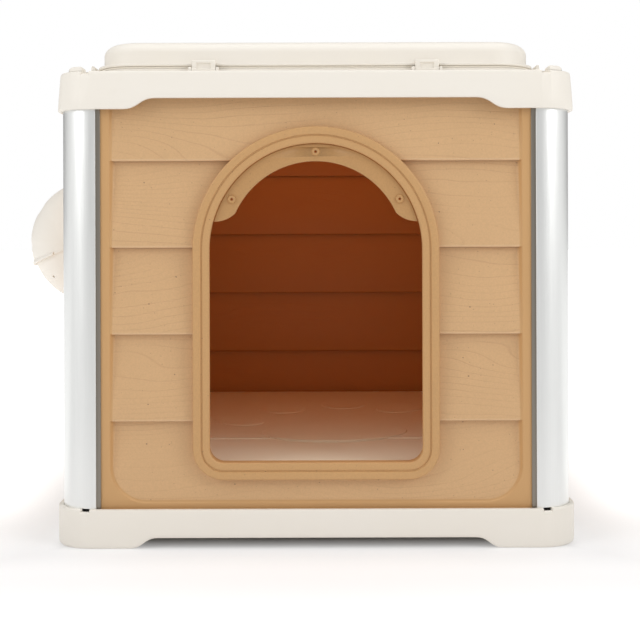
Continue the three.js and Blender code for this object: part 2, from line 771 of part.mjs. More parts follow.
function roofLid() {
  const flange = slab(
    lidX + lidFlange, lidFrontEdge, lidCornerPlan + lidFlange, lidFlangeZ, lidFlangeZ + lidFlangeThick,
  );
  const knuckles = sidesOfLid.flatMap((side) => {
    const x0 = side * hingeX - knuckleWidth / 2;
    const x1 = x0 + knuckleWidth;
    return [
      box(x0, x1, lidY - 1, hingeY, lidFlangeZ, hingeZ + knuckleRadius),
      bar('x', knuckleRadius, x0, x1, hingeY, hingeZ, 16),
    ];
  });
  return cut(
    join(lidShell(0, lidTop), flange, ...knuckles),
    lidShell(lidWall, lidTop - lidWall),
    bar('x', hingePinRadius + pinGap, -outerX, outerX, hingeY, hingeZ),
  );
}

function lidGasket() {
  const z0 = lidFlangeZ - gasketThick - gap;
  const plan = (inset) => [lidX - inset, lidY - inset, lidCornerPlan - inset];
  return cut(
    slab(...plan(seatInsideWall - seatWidth + gasketInset), z0, z0 + gasketThick),
    slab(...plan(seatInsideWall - gasketInset), z0 - 1, z0 + gasketThick + 1),
  );
}

function latch(side) {
  const x0 = side * latchX - latchWidth / 2;
  const x1 = x0 + latchWidth;
  const front = latchY - latchThick / 2;
  const rear = latchY + latchThick / 2;
  const noseEnd = -lidFrontEdge - latchNoseGap;
  const profile = new THREE.Shape([
    [front, latchPivotZ], [rear, latchPivotZ], [rear, latchTopZ - latchNoseThick],
    [noseEnd, latchTopZ - latchNoseThick], [noseEnd, latchTopZ], [front + latchBevel, latchTopZ],
    [front, latchTopZ - latchBevel],
  ].map(([y, z]) => new THREE.Vector2(y, z)));
  return cut(
    prism(profile, 'x', x0, x1).add(bar('x', latchBarrel, x0, x1, latchY, latchPivotZ, 12)),
    box(
      x0 + latchDishEdge, x1 - latchDishEdge, front - 5, front + latchDish,
      latchPivotZ - 5, latchTopZ - latchDishTop,
    ),
    bar('x', latchPinRadius + pinGap, x0 - 1, x1 + 1, latchY, latchPivotZ),
  );
}

// A cap over a roof screw at (0, 0); its outer side, towards +x or -x, leans in, and the corner
// towards the roof's own corner is round.
function cornerCap(outward, endward) {
  const ring = (from, to, halfY, corner, z) => {
    const outline = roundedRect((to - from) / 2, halfY, corner, 3);
    outline.forEach((p) => p.setX(p.x + (outward * (from + to)) / 2));
    return { outline, z };
  };
  const half = capSizeY / 2;
  const block = stack([
    ring(-capReachIn, capReachOut, half, capCorner, gap),
    ring(-capReachIn, capReachOut, half, capCorner, capSlopeStart),
    ring(-capReachIn + capBevel, capReachOut - capSlope, half - capBevel, capCorner - capBevel, capHeight),
  ]);
  const reach = postRadius - portInset;
  const round = bar('z', capRound, 0, capHeight + 1, -outward * reach, -endward * reach, 4 * roundSides);
  return cut(
    block.intersect(round),
    bar('z', screwHeadRadius + capPocketGap, -1, capPocket, 0, 0),
  );
}

// A screw with its head's underside at z = 0 and its shank below.
function screw(length) {
  return turned([
    [0, -length], [screwRadius, -length], [screwRadius, 0], [screwHeadRadius, 0],
    [screwHeadRadius, screwHeadHeight - screwHeadBevel],
    [screwHeadRadius - screwHeadBevel, screwHeadHeight], [0, screwHeadHeight],
  ], 'z');
}

// ---- Vent -------------------------------------------------------------------------------
// Drawn round the centre of the dome; the wall is at +x and the pivot runs along y.
const shutterRadius = hoodRadius - hoodWall - shutterGap;
const ventScrewPlaces = [45, 135, 225, 315].map((angle) => [
  ventScrewCircle * Math.cos(rad(angle)), ventZ + ventScrewCircle * Math.sin(rad(angle)),
]);

function ball(radius) {
  return solid(new THREE.SphereGeometry(radius, roundSides + 4, domeRows));
}

function domeShell(radius, wall) {
  return ball(radius).subtract(ball(radius - wall));
}

// The part of space between two directions seen from the pivot, in degrees above level.
function wedge(low, high) {
  const far = 3 * hoodRadius;
  const fan = arc(0, 0, far, 180 - high, 180 - low, 6);
  return prism(new THREE.Shape([new THREE.Vector2(0, 0), ...fan]), 'y', -far, far)
    .intersect(box(-far, -gap, -far, far, -far, far));
}

function ventHood() {
  const ear = bar('y', pivotEar, -2 * hoodRadius, 2 * hoodRadius, 0, 0, 16);
  const shell = domeShell(hoodRadius, hoodWall);
  const lipHalf = hoodRadius - hoodLipShort;
  const lip = domeShell(hoodRadius + hoodLip, hoodLip + 0.5)
    .intersect(wedge(hoodSeamAngle, hoodSeamAngle + hoodLipAngle))
    .intersect(box(-2 * hoodRadius, 0, -lipHalf, lipHalf, -hoodRadius, hoodRadius));
  return cut(
    join(shell.intersect(wedge(hoodSeamAngle, 90).add(ear)), lip),
    bar('y', ventPinRadius + pinGap, -2 * hoodRadius, 2 * hoodRadius, 0, 0),
  );
}

function ventShutter() {
  const ear = bar('y', shutterEar, -2 * hoodRadius, 2 * hoodRadius, 0, 0, 16);
  const shell = domeShell(shutterRadius, shutterWall);
  const holes = ventHoleAngles.map((angle) => {
    const reach = Math.sqrt(shutterRadius ** 2 - ventHoleDrop ** 2);
    const turn = rad(angle);
    const place = new THREE.Vector3(-reach * Math.cos(turn), reach * Math.sin(turn), -ventHoleDrop);
    const drill = new THREE.CylinderGeometry(ventHoleRadius, ventHoleRadius, 12, 8);
    drill.applyQuaternion(new THREE.Quaternion().setFromUnitVectors(
      new THREE.Vector3(0, 1, 0), place.clone().normalize(),
    ));
    return solid(drill.translate(place.x, place.y, place.z));
  });
  return cut(
    shell.intersect(wedge(-90, hoodSeamAngle + shutterLap).add(ear)),
    bar('y', ventPinRadius + pinGap, -2 * hoodRadius, 2 * hoodRadius, 0, 0),
    ...holes,
  );
}

function ventCollar() {
  const wallFace = ventReach - gap; // along +x from the dome's centre
  const flangeFace = wallFace - collarFlangeThick;
  const inEnd = ventReach + boardBackBottom + clampThick + spigotEnd;
  const spigot = ventBore + spigotWall;
  const rim = hoodRadius - collarWall;
  const ring = turned([
    [ventBore, inEnd], [spigot, inEnd], [spigot, wallFace], [hoodRadius + collarFlange, wallFace],
    [hoodRadius + collarFlange, flangeFace], [hoodRadius, flangeFace], [hoodRadius, gap], [rim, gap],
    [rim, flangeFace], [ventBore, flangeFace], [ventBore, inEnd],
  ], 'x', roundSides);
  const notch = bar('y', pivotEar + 1, -2 * hoodRadius, 2 * hoodRadius, 0, 0, 16);
  const screws = ventScrewPlaces.map(([y, z]) => bar(
    'x', screwRadius + pinGap, flangeFace + 1.2, wallFace + 1, y, z - ventZ,
  ));
  return cut(ring, notch, ...screws);
}

function ventClampRing() {
  const near = ventReach + boardBackBottom + gap;
  const inner = ventBore + spigotWall + gap;
  const ring = turned([
    [inner, near], [inner + clampWidth, near], [inner + clampWidth, near + clampThick],
    [inner, near + clampThick], [inner, near],
  ], 'x', roundSides);
  return cut(ring, ...ventScrewPlaces.map(([y, z]) => bar(
    'x', screwRadius + pinGap, near - 1, near + clampThick + 1, y, z - ventZ,
  )));
}

function ventPin(side) {
  const inside = shutterRadius - shutterWall - 3;
  const head = hoodRadius + gap;
  const top = head + ventPinHeadThick;
  const profile = [
    [0, inside], [ventPinRadius, inside], [ventPinRadius, head], [ventPinHead, head],
    [ventPinHead, top - screwHeadBevel], [ventPinHead - screwHeadBevel, top], [0, top],
  ].map(([radius, along]) => [radius, side * along]);
  return turned(profile, 'y');
}

// ---- The whole house --------------------------------------------------------------------
addPiece('base_tray', baseTray(), ivory);
addPiece('floor_board', floorBoard(), ivory);

corners.forEach(({ name, x, y, turn }) => {
  const atCorner = new THREE.Group();
  atCorner.position.set(x * postX, y * postY, 0);
  atCorner.rotation.z = rad(turn);
  addPiece(`post_${name}`, cornerPost(), aluminium, atCorner);
  house.add(atCorner);

  const atPort = new THREE.Group();
  atPort.position.set(x * (postX - portInset), y * (postY - portInset), 0);
  addPiece(`corner_cap_${name}`, cornerCap(x, y), ivory, atPort).position.z = roofTop;
  addPiece(`roof_screw_${name}`, screw(screwLength), steel, atPort).position.z = roofTop + gap;
  const below = addPiece(`base_screw_${name}`, screw(screwLength), steel, atPort);
  below.position.z = deckTop - deckThick - gap;
  below.rotation.x = Math.PI;
  house.add(atPort);
});

const walls = [
  { name: 'front_panel', shape: frontPanel(), x: 0, y: -1, turn: 0 },
  { name: 'rear_panel', shape: lapPanel(postX), x: 0, y: 1, turn: 180 },
  { name: 'left_panel', shape: leftPanel(), x: -1, y: 0, turn: -90 },
  { name: 'right_panel', shape: lapPanel(postY), x: 1, y: 0, turn: 90 },
];
walls.forEach(({ name, shape, x, y, turn }) => {
  const mesh = addPiece(name, shape, tan);
  mesh.position.set(x * (postX - panelFace), y * (postY - panelFace), 0);
  mesh.rotation.z = rad(turn);
});

const doorway = new THREE.Group();
doorway.position.y = panelFace - postY;
addPiece('door_trim', doorTrim(), tan, doorway);
addPiece('flap_mount_plate', flapPlate(), tan, doorway);
house.add(doorway);

addPiece('roof_frame', roofFrame(), ivory);
addPiece('roof_lid', roofLid(), ivory);
addPiece('lid_gasket', lidGasket(), seal);
sidesOfLid.forEach((side) => {
  const hand = side < 0 ? 'left' : 'right';
  const hingeHalf = knuckleWidth / 2 + sideGap + earThick;
  const latchHalf = latchWidth / 2 + sideGap + latchLug;
  addPiece(`lid_hinge_pin_${hand}`, bar(
    'x', hingePinRadius, side * hingeX - hingeHalf, side * hingeX + hingeHalf, hingeY, hingeZ,
  ), steel);
  addPiece(`latch_${hand}`, latch(side), ivory);
  addPiece(`latch_pin_${hand}`, bar(
    'x', latchPinRadius, side * latchX - latchHalf, side * latchX + latchHalf, latchY, latchPivotZ,
  ), steel);
});

const vent = new THREE.Group();
vent.position.set(panelFace - postX - ventReach, 0, ventZ);
addPiece('vent_collar', ventCollar(), ivory, vent);
addPiece('vent_hood', ventHood(), ivory, vent);
addPiece('vent_shutter', ventShutter(), ivory, vent);
addPiece('vent_clamp_ring', ventClampRing(), ivory, vent);
addPiece('vent_pin_front', ventPin(-1), steel, vent);
addPiece('vent_pin_rear', ventPin(1), steel, vent);
ventScrewPlaces.forEach(([y, z], i) => {
  const headX = ventReach + boardBackBottom + 2 * gap + clampThick;
  const mesh = addPiece(`vent_screw_${i + 1}`, screw(boardBackBottom + clampThick + 2.4), steel, vent);
  mesh.position.set(headX, y, z - ventZ);
  mesh.rotation.y = Math.PI / 2;
});
house.add(vent);

export default house;
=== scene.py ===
import math

import bmesh
import bpy
from mathutils import Matrix, Vector


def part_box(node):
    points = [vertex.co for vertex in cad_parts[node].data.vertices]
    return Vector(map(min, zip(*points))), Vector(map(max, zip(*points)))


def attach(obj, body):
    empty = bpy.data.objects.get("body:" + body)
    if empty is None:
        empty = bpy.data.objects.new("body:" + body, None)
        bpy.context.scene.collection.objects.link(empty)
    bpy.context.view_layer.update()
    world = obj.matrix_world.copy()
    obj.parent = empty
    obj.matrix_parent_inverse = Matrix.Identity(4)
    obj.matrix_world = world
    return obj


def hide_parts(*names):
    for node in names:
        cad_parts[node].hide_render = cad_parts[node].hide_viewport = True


# A moulded dog house: ivory base and roof frame, satin metal corner posts, tan lap-board
# walls, an arched doorway, a hinged roof lid and a round vent on the left wall.
# Lengths are in millimetres and angles in degrees, unless a comment says otherwise.

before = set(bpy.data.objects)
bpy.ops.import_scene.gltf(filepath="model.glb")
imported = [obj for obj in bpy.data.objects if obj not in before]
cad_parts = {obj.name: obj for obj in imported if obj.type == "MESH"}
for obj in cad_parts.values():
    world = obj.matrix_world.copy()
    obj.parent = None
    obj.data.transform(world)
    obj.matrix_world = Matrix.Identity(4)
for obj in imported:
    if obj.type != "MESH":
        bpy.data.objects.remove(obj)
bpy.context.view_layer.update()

CORNERS = {"front_left": (-1, -1), "front_right": (1, -1), "rear_right": (1, 1), "rear_left": (-1, 1)}
MM = 0.001
GAP = 0.3  # between pieces that touch


# ---- Sizes taken from the frame ----
def corners_of(node):
    low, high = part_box(node)
    return low / MM, high / MM


_, BASE_HIGH = corners_of("base_tray")
FLOOR_LOW, FLOOR_HIGH = corners_of("floor_board")
POST_LOW, POST_HIGH = corners_of("post_rear_right")
WALL_LOW, _ = corners_of("front_panel")
TRIM_LOW, TRIM_HIGH = corners_of("door_trim")
ROOF_LOW, _ = corners_of("roof_frame")
LID_LOW, LID_HIGH = corners_of("roof_lid")
CAP_LOW, _ = corners_of("corner_cap_rear_right")
COLLAR_LOW, COLLAR_HIGH = corners_of("vent_collar")

OUTER_X = BASE_HIGH.x
OUTER_Y = BASE_HIGH.y
POST_X = POST_HIGH.x
POST_Y = POST_HIGH.y
POST_Z0 = POST_LOW.z
POST_Z1 = POST_HIGH.z
DECK_TOP = POST_Z0 - GAP
BASE_TOP = BASE_HIGH.z
ROOF_TOP = CAP_LOW.z - GAP
PANEL_FACE = POST_Y + WALL_LOW.y  # the walls' outer faces behind the posts' outer faces

# ---- Posts ----
POST_ROUND = 46
POST_ARM = 52
POST_WALL = 2
LIP_SETBACK = 3.5
LIP_REACH = 6
SLOT_START = LIP_SETBACK + POST_WALL
SLOT_WIDTH = 8.6
SLOT_DEPTH = 10.5
PORT_INSET = 17.5
SCREW_HOLE = 2.75
PORT_RADIUS = 5.5
WEEP_MIDDLE = 37.5  # the slots in a post's foot, from its outer corner
WEEP_WIDTH = 12

# ---- Wall panels ----
TONGUE = 8
BOARD_RECESS = 11
BOARD_LIP = 0.5
BOARD_PITCH = 118.7
FIRST_STEP = 170.5
BOARD_COUNT = 5
BOARD_LAP = 18
BOARD_INSET = 70
BOARD_BOTTOM = 59.7
BOARD_TOP = ROOF_TOP - 15
BOARD_CORNER = 50
BOARD_BACK = 20  # inside the house, the depth of a board's lower edge
BOARD_BACK_TOP = 13  # and of its upper edge
INNER_RIM = 4
RECESS_SLOPE = 11 / 6  # depth gained for each millimetre in from the recess's outline
RECESS_BAND = 6.6
LIP_ROUND = 2.4
VENT_BOSS = 118

# ---- Doorway ----
DOOR_HALF = TRIM_HIGH.x
DOOR_BOTTOM = TRIM_LOW.z
DOOR_ARCH_Z = TRIM_HIGH.z - DOOR_HALF
DOOR_CORNER = 42
TRIM_WIDTH = 23.3
TRIM_PROUD = 9
TRIM_BAND = 11.2
TRIM_GROOVE = 1.6
TRIM_STEP = 1.5
TRIM_GROOVE_DEPTH = 2.4
TRIM_INNER_ROUND = 3
TRIM_DRAFT = 2.6  # the doorway opens this much towards the inside of the house
TRIM_SEAT = 12
TRIM_SLEEVE = 6.3
TRIM_SLEEVE_END = 24
BOSS_WIDTH = 14
BOSS_DEPTH = 22

# ---- Fineness ----
QUARTER = 16  # steps along a quarter turn
FULL = 96  # sides of a large round piece


# ---- Making meshes ----
def arc(cx, cy, radius, start, end, steps):
    points = []
    for i in range(steps + 1):
        angle = math.radians(start + (end - start) * i / steps)
        points.append((cx + radius * math.cos(angle), cy + radius * math.sin(angle)))
    return points


def circle(cx, cy, radius, sides):
    return arc(cx, cy, radius, 0, 360, sides)[:-1]


def rounding(steps):
    """A quarter round of radius 1, from (1, 0) to (0, 1), as the distances from its two flats."""
    angles = [math.radians(90 * i / steps) for i in range(steps + 1)]
    return [(1 - math.sin(angle), 1 - math.cos(angle)) for angle in angles]


def rounded_rect(half_x, half_y, radius, steps=QUARTER):
    x = half_x - radius
    y = half_y - radius
    return (arc(x, y, radius, 0, 90, steps) + arc(-x, y, radius, 90, 180, steps)
            + arc(-x, -y, radius, 180, 270, steps) + arc(x, -y, radius, 270, 360, steps))


def show(obj):
    bpy.context.scene.collection.objects.link(obj)
    return obj


def clean(obj, sharp=32):
    """Merges doubles, turns the faces outwards and smooths all but the edges sharper than sharp."""
    work = bmesh.new()
    work.from_mesh(obj.data)
    bmesh.ops.remove_doubles(work, verts=work.verts, dist=2e-6)
    bmesh.ops.dissolve_degenerate(work, edges=work.edges, dist=1e-6)
    bmesh.ops.recalc_face_normals(work, faces=work.faces)
    work.to_mesh(obj.data)
    work.free()
    for polygon in obj.data.polygons:
        polygon.use_smooth = True
    obj.data.set_sharp_from_angle(angle=math.radians(sharp))
    return obj


def from_faces(name, points, faces):
    mesh = bpy.data.meshes.new(name)
    mesh.from_pydata([Vector(p) * MM for p in points], [], faces)
    return clean(show(bpy.data.objects.new(name, mesh)))


def loft(name, rings, closed=False):
    """A solid through rings of as many points each. It is capped, or closed from last to first."""
    count = len(rings[0])
    points = [p for ring in rings for p in ring]
    faces = []
    for level in range(len(rings) if closed else len(rings) - 1):
        here = level * count
        there = (level + 1) % len(rings) * count
        for i in range(count):
            j = (i + 1) % count
            faces.append((here + i, here + j, there + j, there + i))
    if not closed:
        faces.append(tuple(range(count))[::-1])
        faces.append(tuple(range(len(points) - count, len(points))))
    return from_faces(name, points, faces)


def evaluated_mesh(obj):
    graph = bpy.context.evaluated_depsgraph_get()
    return bpy.data.meshes.new_from_object(obj.evaluated_get(graph), depsgraph=graph)


def settle(obj):
    """Applies the object's modifiers, so that it is a plain mesh."""
    mesh = evaluated_mesh(obj)
    obj.modifiers.clear()
    obj.data = mesh


def combine(obj, tools, operation):
    """Joins tools to obj or cuts them out of it, and removes them."""
    for tool in tools:
        step = obj.modifiers.new("combine", "BOOLEAN")
        step.operation = operation
        step.solver = "EXACT"
        step.object = tool
        settle(obj)
        mesh = tool.data
        bpy.data.objects.remove(tool)
        bpy.data.meshes.remove(mesh)
    clean(obj)


def join(obj, *tools):
    combine(obj, tools, "UNION")


def cut(obj, *tools):
    combine(obj, tools, "DIFFERENCE")


def plate(name, outlines, thick, edge=0.0, place=Matrix()):
    """A flat plate between z = 0 and z = thick with rounded edges; outlines after the first are holes."""
    curve = bpy.data.curves.new(name, "CURVE")
    curve.dimensions = "2D"
    curve.fill_mode = "BOTH"
    curve.extrude = (thick / 2 - edge) * MM
    curve.bevel_depth = edge * MM
    curve.bevel_resolution = 2
    curve.offset = -edge * MM
    for outline in outlines:
        spline = curve.splines.new("POLY")
        spline.points.add(len(outline) - 1)
        for point, (x, y) in zip(spline.points, outline):
            point.co = (x * MM, y * MM, 0, 1)
        spline.use_cyclic_u = True
    drawn = show(bpy.data.objects.new(name + "_outline", curve))
    mesh = evaluated_mesh(drawn)
    bpy.data.objects.remove(drawn)
    mesh.transform(Matrix.Translation((0, 0, thick / 2 * MM)))
    turn = place.to_3x3().to_4x4()
    mesh.transform(Matrix.Translation(place.translation * MM) @ turn)
    return clean(show(bpy.data.objects.new(name, mesh)))


def upright(y):
    """The place of a plate that is drawn in x and z, with its back at y and its face towards -Y."""
    turn = Matrix(((1, 0, 0), (0, 0, -1), (0, 1, 0))).to_4x4()
    turn.translation = Vector((0, y, 0))
    return turn


def turned(name, profile, axis, origin, sides=FULL, closed=True):
    """A ring or a pin turned about x, y or z; the profile is a list of (radius, along)."""
    along_way = "xyz".index(axis)
    rings = []
    for radius, along in profile:
        ring = []
        for u, v in circle(0, 0, max(radius, 1e-3), sides):
            point = Vector(origin)
            point[along_way] += along
            point[(along_way + 1) % 3] += u
            point[(along_way + 2) % 3] += v
            ring.append(point)
        rings.append(ring)
    return loft(name, rings, closed)


def block(name, low, high, edge=0.6):
    """A box with rounded edges."""
    centre = (Vector(low) + Vector(high)) / 2
    half = (Vector(high) - Vector(low)) / 2
    outline = rounded_rect(half.x, half.y, edge, 3)
    place = Matrix.Translation((centre.x, centre.y, low[2]))
    return plate(name, [outline], high[2] - low[2], edge, place)


def bar(name, axis, radius, start, end, origin, sides=32):
    profile = [(0, start), (radius, start), (radius, end), (0, end)]
    return turned(name, profile, axis, origin, sides, closed=False)


# ---- Node trees ----
class Value:
    """A number made by a node. The usual signs add the node that works them out."""

    def __init__(self, tree, socket):
        self.tree = tree
        self.socket = socket

    def __add__(self, other):
        return self.tree.math("ADD", self, other)

    def __sub__(self, other):
        return self.tree.math("SUBTRACT", self, other)

    def __mul__(self, other):
        return self.tree.math("MULTIPLY", self, other)

    def __truediv__(self, other):
        return self.tree.math("DIVIDE", self, other)


class Tree:
    """A node tree, with short ways to add and join its nodes."""

    def __init__(self, tree):
        self.tree = tree

    def add(self, kind, settings=None, **inputs):
        made = self.tree.nodes.new(kind)
        for key, value in (settings or {}).items():
            setattr(made, key, value)
        for key, value in inputs.items():
            self.feed(made.inputs[key.replace("_", " ")], value)
        return made

    def feed(self, socket, value):
        if isinstance(value, Value):
            value = value.socket
        if isinstance(value, bpy.types.NodeSocket):
            self.tree.links.new(value, socket)
        else:
            socket.default_value = value

    def math(self, operation, *values):
        made = self.add("ShaderNodeMath", {"operation": operation})
        for socket, value in zip(made.inputs, values):
            self.feed(socket, value)
        return Value(self, made.outputs[0])

    def vector(self, x=0.0, y=0.0, z=0.0):
        return self.add("ShaderNodeCombineXYZ", X=x, Y=y, Z=z).outputs[0]

    def parts(self, vector):
        """The x, y and z of a vector."""
        return [Value(self, part) for part in self.add("ShaderNodeSeparateXYZ", Vector=vector).outputs]


class Finish(Tree):
    """A material's node tree."""

    def __init__(self, name):
        self.material = bpy.data.materials.new(name)
        self.material.use_nodes = True
        super().__init__(self.material.node_tree)
        self.shader = self.tree.nodes["Principled BSDF"]

    def place(self):
        return self.add("ShaderNodeTexCoord").outputs["Object"]

    def attribute(self, name):
        return Value(self, self.add("ShaderNodeAttribute", {"attribute_name": name}).outputs["Fac"])

    def noise(self, where, scale, detail=2.0, rough=0.5):
        made = self.add("ShaderNodeTexNoise", Vector=where, Scale=scale, Detail=detail, Roughness=rough)
        return Value(self, made.outputs["Fac"])

    def spread(self, value, low, high, to_low=0.0, to_high=1.0, kind="SMOOTHSTEP"):
        made = self.add("ShaderNodeMapRange", {"interpolation_type": kind}, Value=value)
        for index, number in zip((1, 2, 3, 4), (low, high, to_low, to_high)):
            made.inputs[index].default_value = number
        return Value(self, made.outputs[0])

    def mix(self, share, first, second):
        """A colour between two, each a node's or given as red, green and blue."""
        made = self.add("ShaderNodeMix", {"data_type": "RGBA"}, Factor=share)
        for socket, tone in ((made.inputs[6], first), (made.inputs[7], second)):
            self.feed(socket, colour(*tone) if isinstance(tone, tuple) else tone)
        return made.outputs[2]

    def bump(self, height, depth, strength=1.0):
        """depth is the height in metres that 1 stands for."""
        made = self.add("ShaderNodeBump", Height=height, Strength=strength, Distance=depth)
        self.tree.links.new(made.outputs[0], self.shader.inputs["Normal"])

    def set(self, **values):
        for key, value in values.items():
            self.feed(self.shader.inputs[key.replace("_", " ")], value)


def colour(red, green, blue):
    return (red, green, blue, 1)


def times(tone, *factors):
    """A colour with its red, green and blue multiplied, at most to 1."""
    return tuple(min(1, part * factor) for part, factor in zip(tone, factors))


# ---- Materials ----
BOARD_TAN = (0.635, 0.395, 0.198)
SMOOTH_TAN = (0.600, 0.350, 0.150)
TRIM_TAN = (0.560, 0.318, 0.130)
# Painted shade: the flap plate's deeper tan, for its place recessed in the doorway.
SHADED_PLATE_TAN = (0.490, 0.268, 0.102)
# Painted shade: the deeper tan of the walls' faces inside the house.
INSIDE_SHADE_TAN = (0.560, 0.235, 0.040)
FLECK_BROWN = (0.16, 0.085, 0.04)
GRAIN_BROWN = (0.42, 0.22, 0.11)
# Painted shade: the dark grey of the lip recessed deep in each post's groove.
GROOVE_SHADE_GREY = (0.29, 0.26, 0.22)


def ivory_finish(name, tone):
    made = Finish(name)
    where = made.place()
    cloudy = made.noise(where, 9.0, 3.0)
    pebble = made.noise(where, 900.0, 2.0)
    wear = made.spread(made.noise(where, 60.0, 4.0, 0.6), 0.55, 0.8)
    fresh = made.mix(cloudy, times(tone, 0.985, 0.975, 0.95), tone)
    worn = made.mix(wear * 0.12, fresh, times(tone, 0.92, 0.90, 0.86))
    made.set(Base_Color=worn, Roughness=made.spread(pebble, 0.3, 0.7, 0.42, 0.52))
    made.bump(pebble, 0.00008, 0.5)
    return made.material


def tan_colours(made, where, tone):
    """Tan plastic of a tone: soft clouds of light and dark, and sparse dark flecks."""
    brighter = times(tone, 1.06, 1.06, 1.06)
    tone = made.mix(made.noise(where, 7.0, 3.0), times(tone, 0.95, 0.95, 0.95), brighter)
    speckle = made.spread(made.noise(where, 420.0, 2.0), 0.35, 0.65, 0.0, 0.2)
    tone = made.mix(speckle, tone, times(brighter, 0.7, 0.7, 0.7))
    x, y, z = made.parts(where)
    flat = made.vector(x + y, z)
    spots = []
    for cells, largest, depth in ((71.0, 0.055, 0.35), (25.0, 0.029, 0.6)):
        fleck = made.add("ShaderNodeTexVoronoi", {"voronoi_dimensions": "2D", "feature": "F1"},
                         Vector=flat, Scale=cells, Randomness=1.0)
        chance = made.add("ShaderNodeSeparateColor", Color=fleck.outputs["Color"]).outputs[0]
        size = made.spread(chance, 0.4, 1.0, 0.0, largest, "LINEAR")
        spots.append(made.math("LESS_THAN", fleck.outputs["Distance"], size) * depth)
        tone = made.mix(spots[-1], tone, FLECK_BROWN)
    return tone, spots[0] + spots[1]


def smooth_tan_finish(name, tone):
    made = Finish(name)
    where = made.place()
    tone, spot = tan_colours(made, where, tone)
    made.set(Base_Color=tone, Roughness=0.5)
    made.bump(made.noise(where, 700.0, 2.0) - spot, 0.00010, 0.6)
    return made.material


def grained_tan_finish():
    """Tan plastic with engraved wood grain: level lines of a wavy field, ringed round knots."""
    made = Finish("tan_plastic_grained")
    where = made.place()
    board_tone, spot = tan_colours(made, where, BOARD_TAN)
    x, y, height = made.parts(where)
    along = x + y
    boards_up = (height - FIRST_STEP * MM) / (BOARD_PITCH * MM)
    seed = made.math("FLOOR", boards_up) * 7.31

    def stretched(across, upwards):
        return made.vector(along * across, height * upwards, seed)

    fine = stretched(14.0, 30.0)
    wave = made.noise(stretched(2.6, 8.0), 1.0, 2.0, 0.45)
    ripple = made.noise(fine, 1.0, 1.0)
    knot = made.add("ShaderNodeTexVoronoi", {"feature": "F1"}, Vector=stretched(3.1, 9.5), Scale=1.0,
                    Randomness=0.9).outputs["Distance"]
    field = height * 95.0 + wave * 8.5 + ripple * 0.35 + made.spread(knot, 0.0, 0.75, 4.5, 0.0)
    phase = made.math("ABSOLUTE", made.math("FRACT", field) - 0.5)
    faint = made.spread(made.noise(fine, 0.35, 1.0), 0.32, 0.62, 0.35, 1.0)
    mask = made.attribute("board")
    line = made.spread(phase, 0.43, 0.49) * faint * mask
    tone = made.mix(mask, made.mix(made.noise(where, 7.0, 3.0), SMOOTH_TAN, TRIM_TAN), board_tone)
    tone = made.mix(line * 0.24, tone, GRAIN_BROWN)
    # Painted shade and highlight: dark under each board's lower edge, where its shadow falls, and pale along
    # the edge itself, where it catches the light.
    up_board = made.math("FRACT", boards_up)
    # Each row: where up the board, how strong, and the painted shadow or painted highlight tone.
    for low, high, at_low, at_high, painted_tone in ((0.93, 1.0, 0.0, 0.25, (0.36, 0.19, 0.08)),
                                              (0.984, 0.996, 0.0, 0.45, (0.22, 0.11, 0.05)),
                                              (0.006, 0.03, 0.35, 0.0, (0.84, 0.62, 0.40))):
        tone = made.mix(made.spread(up_board, low, high, at_low, at_high) * mask, tone, painted_tone)
    # The faces that look into the house get a deeper, more saturated tan: painted shade for the dim, warm
    # light inside.
    tone = made.mix(made.attribute("inside"), tone, INSIDE_SHADE_TAN)
    made.set(Base_Color=tone, Roughness=0.5)
    made.bump(made.noise(where, 700.0, 2.0) * 0.25 - line - spot * 0.4, 0.00030, 0.6)
    return made.material


def aluminium_finish():
    made = Finish("post_aluminium")
    drawn = made.add("ShaderNodeMapping", Vector=made.place(), Scale=(1.0, 1.0, 0.004)).outputs[0]
    lines = made.noise(drawn, 2600.0, 2.0, 0.6)
    tone = made.mix(lines, (0.83, 0.835, 0.82), (0.90, 0.905, 0.89))
    # The lip deep in the groove is painted darker grey: painted shade of the recess.
    tone = made.mix(made.attribute("groove"), tone, GROOVE_SHADE_GREY)
    made.set(Base_Color=tone, Metallic=1.0, Roughness=made.spread(lines, 0.25, 0.75, 0.28, 0.40))
    made.bump(lines, 0.00004, 0.35)
    return made.material


def steel_finish():
    made = Finish("fastener_steel")
    brushed = made.noise(made.place(), 420.0, 3.0, 0.6)
    tone = made.mix(brushed, (0.50, 0.50, 0.49), (0.62, 0.61, 0.59))
    made.set(Base_Color=tone, Metallic=1.0, Roughness=made.spread(brushed, 0.3, 0.7, 0.26, 0.42))
    made.bump(brushed, 0.00004, 0.3)
    return made.material


def rubber_finish():
    made = Finish("seal_rubber")
    grain = made.noise(made.place(), 500.0, 3.0)
    made.set(Base_Color=made.mix(grain, (0.82, 0.77, 0.68), (0.88, 0.83, 0.74)), Roughness=0.75)
    made.bump(grain, 0.00010, 0.5)
    return made.material


def floor_finish():
    """A pale floor that is lit up further out, so that it meets the white behind it unseen."""
    made = Finish("studio_floor")
    x, y, _ = made.parts(made.place())
    past_x = made.math("ABSOLUTE", x) - OUTER_X * MM
    past_y = made.math("ABSOLUTE", y) - OUTER_Y * MM
    far = made.math("MAXIMUM", past_x, past_y)
    behind = made.spread(y, -0.40, -0.10, 0.0, 0.40)
    glow = made.spread(far, -0.06, 0.01, 0.0, 0.40)
    glow = glow + made.spread(far, 0.01, 0.12, 0.0, 0.10) + made.spread(far, 0.12, 0.48, 0.0, 0.50)
    glow = glow + made.spread(past_x, 0.02, 0.20) * behind
    mirrored = made.add("ShaderNodeLightPath").outputs["Is Glossy Ray"]
    glow = glow * made.math("MULTIPLY_ADD", mirrored, -0.25, 1.0)
    made.set(Base_Color=made.mix(made.spread(far, 0.07, 0.67), (0.55, 0.54, 0.54), (0, 0, 0)),
             Roughness=0.8, Emission_Color=colour(1, 1, 1), Emission_Strength=glow)
    return made.material


